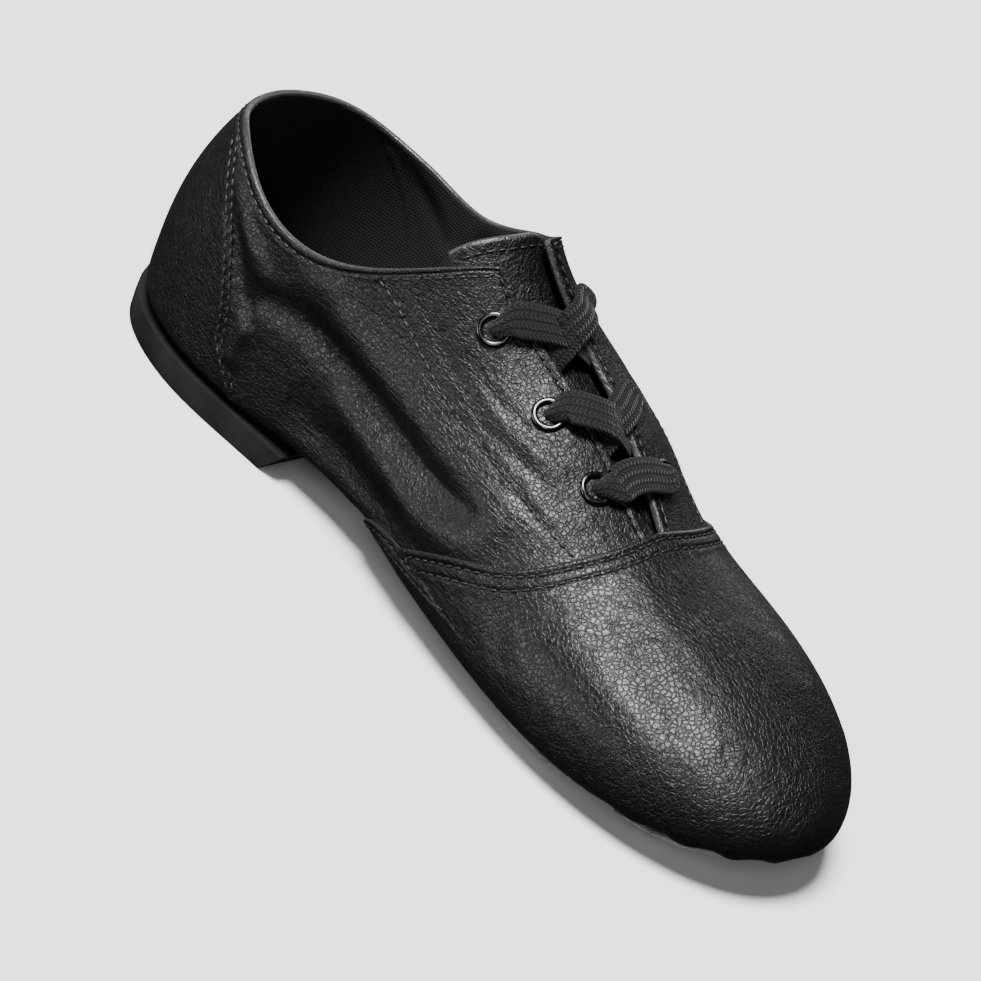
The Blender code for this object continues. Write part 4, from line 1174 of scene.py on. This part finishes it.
def make_heel_pad():
    """D-shaped block built as rings from its underside over worn edges to its top."""
    corner = float(angle_of(HEEL_PAD_FRONT))
    turns = np.linspace(-corner, corner, 121)
    share, y = outline(turns)
    forward = share / HEEL_PAD_FRONT
    x = share * LENGTH - HEEL_SEAT - HEEL_PAD_OVERHANG * (1 - forward) ** 2
    front = np.linspace(0, 1, 31)[1:-1]
    x = np.append(x, x[-1] + 0 * front)
    y = np.append(y, y[-1] + (y[0] - y[-1]) * front)
    lean = np.append(forward ** 12, 1 + 0 * front)
    edge_wear_and_painted_highlight = HEEL_PAD_WEAR
    levels = [(0.0, -edge_wear_and_painted_highlight), (0.0, -edge_wear_and_painted_highlight * 0.7), (edge_wear_and_painted_highlight * 0.3, -edge_wear_and_painted_highlight * 0.2), (edge_wear_and_painted_highlight, 0.0),
              (HEEL_PAD_HEIGHT / 2, HEEL_PAD_SWELL), (HEEL_PAD_HEIGHT - edge_wear_and_painted_highlight, 0.0),
              (HEEL_PAD_HEIGHT - edge_wear_and_painted_highlight * 0.3, -edge_wear_and_painted_highlight * 0.2), (HEEL_PAD_HEIGHT, -edge_wear_and_painted_highlight * 0.7),
              (HEEL_PAD_HEIGHT, -edge_wear_and_painted_highlight)]
    middle = np.array([x.mean(), y.mean()])
    plan = np.stack([x, y], -1) - middle
    rings = []
    for z, grow in levels:
        flat = middle + plan + unit(plan) * grow
        flat[:, 0] += lean * HEEL_PAD_SLANT * z / HEEL_PAD_HEIGHT
        rings.append(np.column_stack([flat, np.full(len(flat), z)]))
    mesh = close(grid_mesh("heel_block", np.array(rings).transpose(1, 0, 2), wrap_columns=True,
                           merge=0))
    mesh.set_sharp_from_angle(angle=math.radians(SHARP_DEGREES))
    return new_object("heel_block", mesh, rubber)


forefoot_suede = pad_mesh("forefoot_suede", egg, 26 * MM, suede)
toe_suede = pad_mesh("toe_suede", crescent, 8.5 * MM, suede)
heel_block = make_heel_pad()
for piece in (forefoot_suede, toe_suede, heel_block):
    report(piece)

# %% [markdown]
# Stitches repeat along lines, so Geometry Nodes make them: the line is resampled at the stitch
# spacing, a small spindle of thread stands on each point, and it is turned along the line with
# its back to the leather's normal, which the guide mesh carries as an attribute. The result is
# turned into a plain mesh, because the exported model has no modifiers.

# %% A stitching tool in Geometry Nodes
def group(name, inputs):
    """A new geometry tree with a geometry socket and named inputs, and its two end nodes."""
    tree = bpy.data.node_groups.new(name, "GeometryNodeTree")
    tree.interface.new_socket("Geometry", in_out="INPUT", socket_type="NodeSocketGeometry")
    for label, kind, value in inputs:
        socket = tree.interface.new_socket(label, in_out="INPUT", socket_type=kind)
        if value is not None:
            socket.default_value = value
    tree.interface.new_socket("Geometry", in_out="OUTPUT", socket_type="NodeSocketGeometry")
    return tree, tree.nodes.new("NodeGroupInput").outputs, tree.nodes.new("NodeGroupOutput")


def place_on(tree, result, material, points, piece, turn):
    """Put a piece on every point as real, smooth geometry with its material, and end the tree."""
    placed = add(tree, "GeometryNodeInstanceOnPoints", Points=points, Instance=piece, Rotation=turn)
    real = add(tree, "GeometryNodeRealizeInstances", Geometry=placed.outputs["Instances"])
    soft = add(tree, "GeometryNodeSetShadeSmooth", Geometry=real.outputs["Geometry"])
    done = add(tree, "GeometryNodeSetMaterial", Geometry=soft.outputs["Geometry"],
               Material=material)
    tree.links.new(done.outputs["Geometry"], result.inputs["Geometry"])
    return tree


STITCH_SPACING, STITCH_LENGTH, THREAD_WIDTH = 2.9 * MM, 2.3 * MM, 0.7 * MM


def stitch_tree():
    """Spindles of thread along lines, with sizes as named inputs."""
    tree, given, result = group("stitches", (
        ("Spacing", "NodeSocketFloat", STITCH_SPACING), ("Stitch", "NodeSocketFloat", STITCH_LENGTH),
        ("Thread", "NodeSocketFloat", THREAD_WIDTH), ("Material", "NodeSocketMaterial", None)))
    line = add(tree, "GeometryNodeMeshToCurve", Mesh=given["Geometry"])
    even = add(tree, "GeometryNodeResampleCurve", {"mode": "LENGTH"}, Curve=line.outputs["Curve"],
               Length=given["Spacing"])
    up = add(tree, "GeometryNodeInputNamedAttribute", {"data_type": "FLOAT_VECTOR"}, Name="up")
    along = add(tree, "GeometryNodeInputTangent").outputs["Tangent"]
    lie = add(tree, "FunctionNodeAlignRotationToVector", {"axis": "X"}, Vector=along)
    face = add(tree, "FunctionNodeAlignRotationToVector", {"axis": "Z", "pivot_axis": "X"},
               Rotation=lie.outputs[0], Vector=up.outputs["Attribute"])
    bead = add(tree, "GeometryNodeMeshUVSphere", Segments=8, Rings=6, Radius=0.5)
    long = add(tree, "ShaderNodeCombineXYZ", X=given["Stitch"], Y=given["Thread"],
               Z=given["Thread"])
    spindle = add(tree, "GeometryNodeTransform", Geometry=bead.outputs["Mesh"],
                  Scale=long.outputs["Vector"])
    return place_on(tree, result, given["Material"], even.outputs["Curve"],
                    spindle.outputs["Geometry"], face.outputs[0])


def grow(name, mesh, tree, **inputs):
    """Run a geometry tree on a guide mesh and return its result as a plain mesh object."""
    guide = bpy.data.objects.new(f"{name}_guide", mesh)
    bpy.context.scene.collection.objects.link(guide)
    modifier = guide.modifiers.new("tree", "NODES")
    modifier.node_group = tree
    names = {item.name: item.identifier for item in tree.interface.items_tree
             if item.in_out == "INPUT"}
    for label, value in inputs.items():
        modifier[names[label]] = value
    evaluated = guide.evaluated_get(bpy.context.evaluated_depsgraph_get())
    made = bpy.data.meshes.new_from_object(evaluated)
    made.name = name
    bpy.data.objects.remove(guide)
    piece = bpy.data.objects.new(name, made)
    bpy.context.scene.collection.objects.link(piece)
    return piece


def guide_mesh(name, lines):
    """A mesh of edges along lines, each a pair of points and normals, with the normals kept."""
    places, normals, edges = [], [], []
    for points, ups in lines:
        edges += [(len(places) + k, len(places) + k + 1) for k in range(len(points) - 1)]
        places += [tuple(p) for p in points]
        normals += [tuple(n) for n in ups]
    mesh = bpy.data.meshes.new(name)
    mesh.from_pydata(places, edges, [])
    held = mesh.attributes.new("up", "FLOAT_VECTOR", "POINT")
    held.data.foreach_set("vector", np.array(normals, np.float32).ravel())
    return mesh


stitches_of = stitch_tree()
print("made tree", stitches_of.name)

# %% [markdown]
# Now the sewing itself: a row below the collar and down both throat edges, two rows along the
# vamp seam, the stay row, two close rows along each heel seam, a row under the tongue's top, and
# rows on the suede pads. The rows lie in the grooves that the panels already have, sunk by a
# little, as a pulled thread is.

# %% Stitch rows
SUNK, HEEL_ROWS = 0.2 * MM, (-1.1 * MM, 1.1 * MM)
PAD_SPACING, PAD_STITCH = 3.2 * MM, 2.2 * MM


def lay(theta, phi, lift):
    """A stitch line on the creased leather, lifted above the last by a height."""
    base, normal = on_last(theta, phi)
    return base + normal * (lift + creased(base))[:, None], normal


def edge_row(side):
    """The row that follows the folded top edge, from the heel to the vamp seam."""
    turns = even_turns(side, 400, 0.985)
    start = top_edge(side, turns)
    theta = quarter_angle(side, turns, start)
    here, normal = on_last(theta, start)
    ahead = unit(np.gradient(here, axis=0))
    down = np.cross(normal, ahead) * (1 if side == LATERAL else -1)
    there = last(quarter_angle(side, turns, start + SMALL_TURN), start + SMALL_TURN)
    sign = np.sign(((there - here) * down).sum(1, keepdims=True))
    inward = here + down * sign * EDGE_STITCH
    return inward - normal * (0.05 * MM), normal


def beside(side, points, shift, lift):
    """A row at a distance beside a line of the last."""
    theta, phi = form_line(side, points)
    base, normal = on_last(theta, phi)
    ahead = unit(np.gradient(base, axis=0))
    across = np.cross(normal, ahead)
    place = base + across * shift
    return place + normal * (lift + creased(base) + grooved(place))[:, None], normal


def vamp_row(side, across):
    """A row at a distance in front of the vamp's back edge, over one side of the shoe."""
    phi = np.radians(np.linspace(1, 124, 160))
    theta = vamp_angle(side, phi, across)
    base, normal = on_last(theta, phi)
    lift = VAMP_STEP - VAMP_THINNED * under_foot(phi) + vamp_relief(across) + SUNK
    return base + normal * (lift + creased(base))[:, None], normal


def pad_row(ring, inset):
    """A closed row on the underside of a suede pad."""
    x, y = ring(inset)
    x, y = np.append(x, x[0]), np.append(y, y[0])
    z = underside(x, y) - CLEARANCE - PAD_THICKNESS
    return np.stack([x, y, z + 0.2 * MM], -1), np.tile((0, 0, -1.0), (len(x), 1))


def tongue_row():
    """The row below the tongue's top edge."""
    across = np.linspace(-0.86, 0.86, 60)
    theta, phi, deep = tongue_place(np.full(across.shape, TONGUE_STITCH), across)
    base, normal = on_last(theta, phi)
    return base - normal * (deep + 0.1 * MM)[:, None], normal


rows = [edge_row(side) for side in (LATERAL, MEDIAL)] + [tongue_row()]
rows += [vamp_row(side, across) for side in (LATERAL, MEDIAL) for across in VAMP_STITCHES]
for side in (LATERAL, MEDIAL):
    rows.append(beside(side, STAY_SEAM, 0.0, 0.2 * MM))
    rows += [beside(side, HEEL_SEAM, shift, 0.05 * MM) for shift in HEEL_ROWS]
upper_stitches = grow("upper_stitches", guide_mesh("upper_rows", rows), stitches_of, Material=thread)
pad_rows = [pad_row(egg, inset) for inset in PAD_STITCHES] + [pad_row(crescent, PAD_STITCHES[0])]
pad_stitches = grow("pad_stitches", guide_mesh("pad_rows", pad_rows), stitches_of, Material=thread,
                    Spacing=PAD_SPACING, Stitch=PAD_STITCH)
report(upper_stitches)
report(pad_stitches)

# %% [markdown]
# The eyelets are six equal rings of lacquered brass, so one ring is made and placed on six
# points. A rolled flange shows on the leather and a short barrel goes through it. The flange
# is a flattened ring, round enough to draw the thin bright arc that such metal shows.

# %% Eyelets
EYELET_HOLE, EYELET_FLANGE, EYELET_LIP = 5.6 * MM, 8.8 * MM, 0.6 * MM
FLANGE_RISE, FLANGE_FLATNESS = 0.45 * MM, 0.72
BARREL_WALL, BARREL_SINK, BARREL_STRETCH = 0.22 * MM, 0.9 * MM, 4.0


def eyelet_tree():
    """A rolled flange and a barrel, turned to the leather on every point."""
    tree, given, result = group("eyelets", (("Material", "NodeSocketMaterial", None),))
    middle = (EYELET_FLANGE + EYELET_HOLE) / 4
    roll = add(tree, "GeometryNodeCurvePrimitiveCircle", Resolution=48, Radius=middle)
    section = add(tree, "GeometryNodeCurvePrimitiveCircle", Resolution=16,
                  Radius=(EYELET_FLANGE - EYELET_HOLE) / 4)
    ring = add(tree, "GeometryNodeCurveToMesh", Curve=roll.outputs["Curve"],
               Profile_Curve=section.outputs["Curve"])
    flat = add(tree, "GeometryNodeTransform", Geometry=ring.outputs["Mesh"],
               Translation=(0, 0, FLANGE_RISE), Scale=(1, 1, FLANGE_FLATNESS))
    tube = add(tree, "GeometryNodeCurvePrimitiveCircle", Resolution=48,
               Radius=EYELET_HOLE / 2 + 0.2 * MM)
    wall = add(tree, "GeometryNodeCurvePrimitiveCircle", Resolution=12, Radius=BARREL_WALL)
    barrel = add(tree, "GeometryNodeCurveToMesh", Curve=tube.outputs["Curve"],
                 Profile_Curve=wall.outputs["Curve"])
    sunk = add(tree, "GeometryNodeTransform", Geometry=barrel.outputs["Mesh"],
               Translation=(0, 0, -BARREL_SINK), Scale=(1, 1, BARREL_STRETCH))
    both = add(tree, "GeometryNodeJoinGeometry", Geometry=flat.outputs["Geometry"])
    tree.links.new(sunk.outputs["Geometry"], both.inputs["Geometry"])
    up = add(tree, "GeometryNodeInputNamedAttribute", {"data_type": "FLOAT_VECTOR"}, Name="up")
    turn = add(tree, "FunctionNodeAlignRotationToVector", {"axis": "Z"},
               Vector=up.outputs["Attribute"])
    return place_on(tree, result, given["Material"], given["Geometry"],
                    both.outputs["Geometry"], turn.outputs[0])


spots = []
for share, lateral, medial in EYELETS:
    for y in (lateral, -medial):
        theta, phi = on_top(share, y * BALL_WIDTH / 2)
        spots.append(lay(np.atleast_1d(theta), np.atleast_1d(phi), np.array([0.0])))
eyelets = grow("eyelets", guide_mesh("eyelet_spots", spots), eyelet_tree(), Material=metal)
report(eyelets)

# %% [markdown]
# A lace comes up through an eyelet folded small, spreads to its flat width, and goes down past
# the ridge into the throat. The bar at the lowest eyelets is straight; above it are two
# crossings, each of two strands. They are swept ribbons rather than curves with a bevel, because
# a ribbon can widen, cup and turn with the leather's normal, and carry its own UV map.

# %% Laces
LACE_WIDTH, LACE_THICKNESS = 9.5 * MM, 1.4 * MM
LACE_ACROSS, LACE_SQUARE, LACE_FOLD, LACE_CUP = 26, 0.75, 1.1, 2.2 * MM


def ribbon(route, steps=12):
    """Points of a flat lace along (share, side distance, lift, share of width)."""
    route = np.array(route, float)
    t = np.linspace(0, len(route) - 1, steps * (len(route) - 1) + 1)
    share, y, lift, wide = (spline(range(len(route)), route[:, k], t) for k in range(4))
    theta, phi = on_top(share, y)
    phi = np.maximum(phi, POLE_MARGIN)
    base, normal = on_last(theta, phi)
    path = base + normal * lift[:, None]
    ahead = unit(np.gradient(path, axis=0))
    across = unit(np.cross(normal, ahead))
    up = np.cross(ahead, across)
    turn = np.linspace(0, 2 * math.pi, LACE_ACROSS, endpoint=False)
    side, high = (np.sign(f(turn)) * np.abs(f(turn)) ** LACE_SQUARE / 2 for f in (np.cos, np.sin))
    fold = 1 + LACE_FOLD * (1 - np.clip(wide, 0, 1))
    width = LACE_WIDTH * wide
    cup = (1 - wide) * LACE_CUP
    points = (path[:, None]
              + across[:, None] * (side[None] * width[:, None])[..., None]
              + up[:, None] * (high[None] * (LACE_THICKNESS * fold)[:, None]
                               - (side[None] * 2) ** 2 * cup[:, None])[..., None])
    length = np.append(0, np.cumsum(np.linalg.norm(np.diff(path, axis=0), axis=1)))
    return points, length, side + 0.5


def lace_mesh(name, strands):
    """Ribbons joined into one mesh, capped, with a UV map that follows the lace."""
    bm = bmesh.new()
    layer = bm.loops.layers.uv.new("along")
    for points, length, v in strands:
        grid = [[bm.verts.new(p) for p in row] for row in points]
        where = {}
        for row, distance in zip(grid, length):
            for vert, across in zip(row, v):
                where[vert] = (distance / MM, float(across))
        count = len(v)
        for a, b in zip(grid, grid[1:]):
            for k in range(count):
                bm.faces.new((a[k - 1], a[k], b[k], b[k - 1]))
        bm.faces.new(grid[0])
        bm.faces.new(grid[-1])
        for face in bm.faces:
            for loop in face.loops:
                if loop.vert in where:
                    loop[layer].uv = where[loop.vert]
    bmesh.ops.recalc_face_normals(bm, faces=bm.faces)
    mesh = bpy.data.meshes.new(name)
    bm.to_mesh(mesh)
    bm.free()
    mesh.shade_smooth()
    return new_object(name, mesh, lace_cloth)


def climb(row, side):
    """From inside an eyelet up over its flange, as (share, y, lift, width)."""
    share, lateral, medial = EYELETS[row]
    y = (lateral if side == LATERAL else -medial) * BALL_WIDTH / 2
    over = 3 * CLEARANCE + EYELET_LIP + LACE_THICKNESS / 2
    return y, over, [(share - 0.002, y + side * 0.4 * MM, -1.6 * MM, 0.40),
                     (share, y - side * 0.3 * MM, over * 0.45, 0.46),
                     (share + 0.003, y - side * 2.0 * MM, over * 1.25, 0.66),
                     (share + 0.007, y - side * 4.6 * MM, over * 1.1, 0.95)]


def strand(row, side, raised):
    """One half of a crossing: up from its eyelet, over the ridge and down into the throat."""
    y, over, start = climb(row, side)
    share = EYELETS[row][0]
    return ribbon(start + [(share + 0.020, y * 0.40, over * 0.9 + raised, 1.0),
                           (share + 0.032, y * 0.02, over * 0.4 + raised, 1.0),
                           (share + 0.041, -y * 0.28, -0.7 * MM + raised / 2, 1.0),
                           (share + 0.048, -y * 0.56, -2.6 * MM, 0.9)])


def make_laces():
    """The bar and the two crossings, each as one mesh."""
    y_far, over, from_far = climb(2, LATERAL)
    y_near, over, from_near = climb(2, MEDIAL)
    share = EYELETS[2][0]
    bar = from_far + [(share + 0.004, y_far * 0.3, over * 0.9, 1.0),
                      (share + 0.004, y_near * 0.3, over * 0.9, 1.0)] + from_near[::-1]
    made = [lace_mesh("lace_bar_woven", [ribbon(bar)])]
    for name, row, top_side in (("lace_lower_woven", 1, MEDIAL), ("lace_upper_woven", 0, LATERAL)):
        strands = [strand(row, top_side, 1.5 * MM), strand(row, -top_side, 0.0)]
        made.append(lace_mesh(name, strands))
    return made


laces = make_laces()
for piece in laces:
    report(piece)

# %% [markdown]
# Each piece rides on the one body and stands for its imported solid; its listed finish slot is not
# used. The stitches stand for no solid, because the imported model leaves them out.

# %% Ride and replace
PIECES = (
    (quarters, "leather", ("upper",)), (vamp, "leather", ("upper",)),
    (tongue, "leather", ("tongue",)), (insole, "lining", ("insole",)),
    (forefoot_suede, "suede", ("forefoot_pad",)), (toe_suede, "suede", ("toe_pad",)),
    (heel_block, "heel_rubber", ("heel_pad",)),
    (upper_stitches, "leather", ()), (pad_stitches, "suede", ()),
    (eyelets, "eyelet_metal", [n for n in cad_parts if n.startswith("eyelet_")]),
    (laces[0], "lace_cotton", ("lace_bar",)), (laces[1], "lace_cotton", ("lace_crossing_lower",)),
    (laces[2], "lace_cotton", ("lace_crossing_upper",)),
)
for piece, slot, nodes in PIECES:
    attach(piece, "root")
    if nodes:
        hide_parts(*nodes)
print("pieces:", len(PIECES))

# %% [markdown]
# The shoe stands on a plain pale floor in soft studio light. A wide light far overhead, a sun lamp
# 22 degrees across and a little to the near side, lights the floor evenly out to the horizon and
# draws the broad highlights on the vamp and under the eyelets. A tall strip on the right and
# long low strips on both sides draw the thin ones, and a weak panel behind shows the heel. The
# floor is left out of reflections, so that the leather stays black between its highlights.

# %% Floor and light
def make_floor():
    """The paper that the shoe stands on, hidden from reflections."""
    made, tree, shader = finish("pale studio paper", "#fafafa", 0.9, Specular_IOR_Level=0.2)
    bm = bmesh.new()
    bmesh.ops.create_grid(bm, x_segments=1, y_segments=1, size=8.0)
    mesh = bpy.data.meshes.new("floor")
    bm.to_mesh(mesh)
    bm.free()
    floor = new_object("floor", mesh, made)
    floor.visible_glossy = False
    return floor


def lamp(name, kind, place, aim, **settings):
    """A lamp that shines from a place towards an aim, with its own settings."""
    data = bpy.data.lights.new(name, kind)
    for key, value in settings.items():
        setattr(data, key, value)
    light = bpy.data.objects.new(name, data)
    light.location = place
    light.visible_camera = False
    light.rotation_euler = (Vector(place) - Vector(aim)).to_track_quat("Z", "Y").to_euler()
    bpy.context.scene.collection.objects.link(light)


def panel(name, place, aim, size, power):
    """A rectangular area lamp."""
    lamp(name, "AREA", place, aim, shape="RECTANGLE", size=size[0], size_y=size[1], energy=power)


MIDDLE = (0.1, 0.0, 0.04)
floor = make_floor()
lamp("far overhead light", "SUN", (0.0, -0.4, 1.85), (0.1, 0.0, 0.0), energy=8.2,
     angle=math.radians(22))
panel("right strip", (1.1, -1.3, 1.15), MIDDLE, (0.25, 1.0), 6)
panel("near strip", (-0.7, -1.35, 0.16), MIDDLE, (1.3, 0.28), 12)
panel("far strip", (-0.8, 1.3, 0.3), MIDDLE, (1.3, 0.28), 4)
panel("back panel", (-1.6, -0.1, 0.7), (0.0, 0.0, 0.04), (0.8, 0.5), 6)
world = bpy.data.worlds.new("studio")
world.use_nodes = True
world.node_tree.nodes["Background"].inputs["Color"].default_value = linear("#ffffff")
world.node_tree.nodes["Background"].inputs["Strength"].default_value = 0.04
bpy.context.scene.world = world
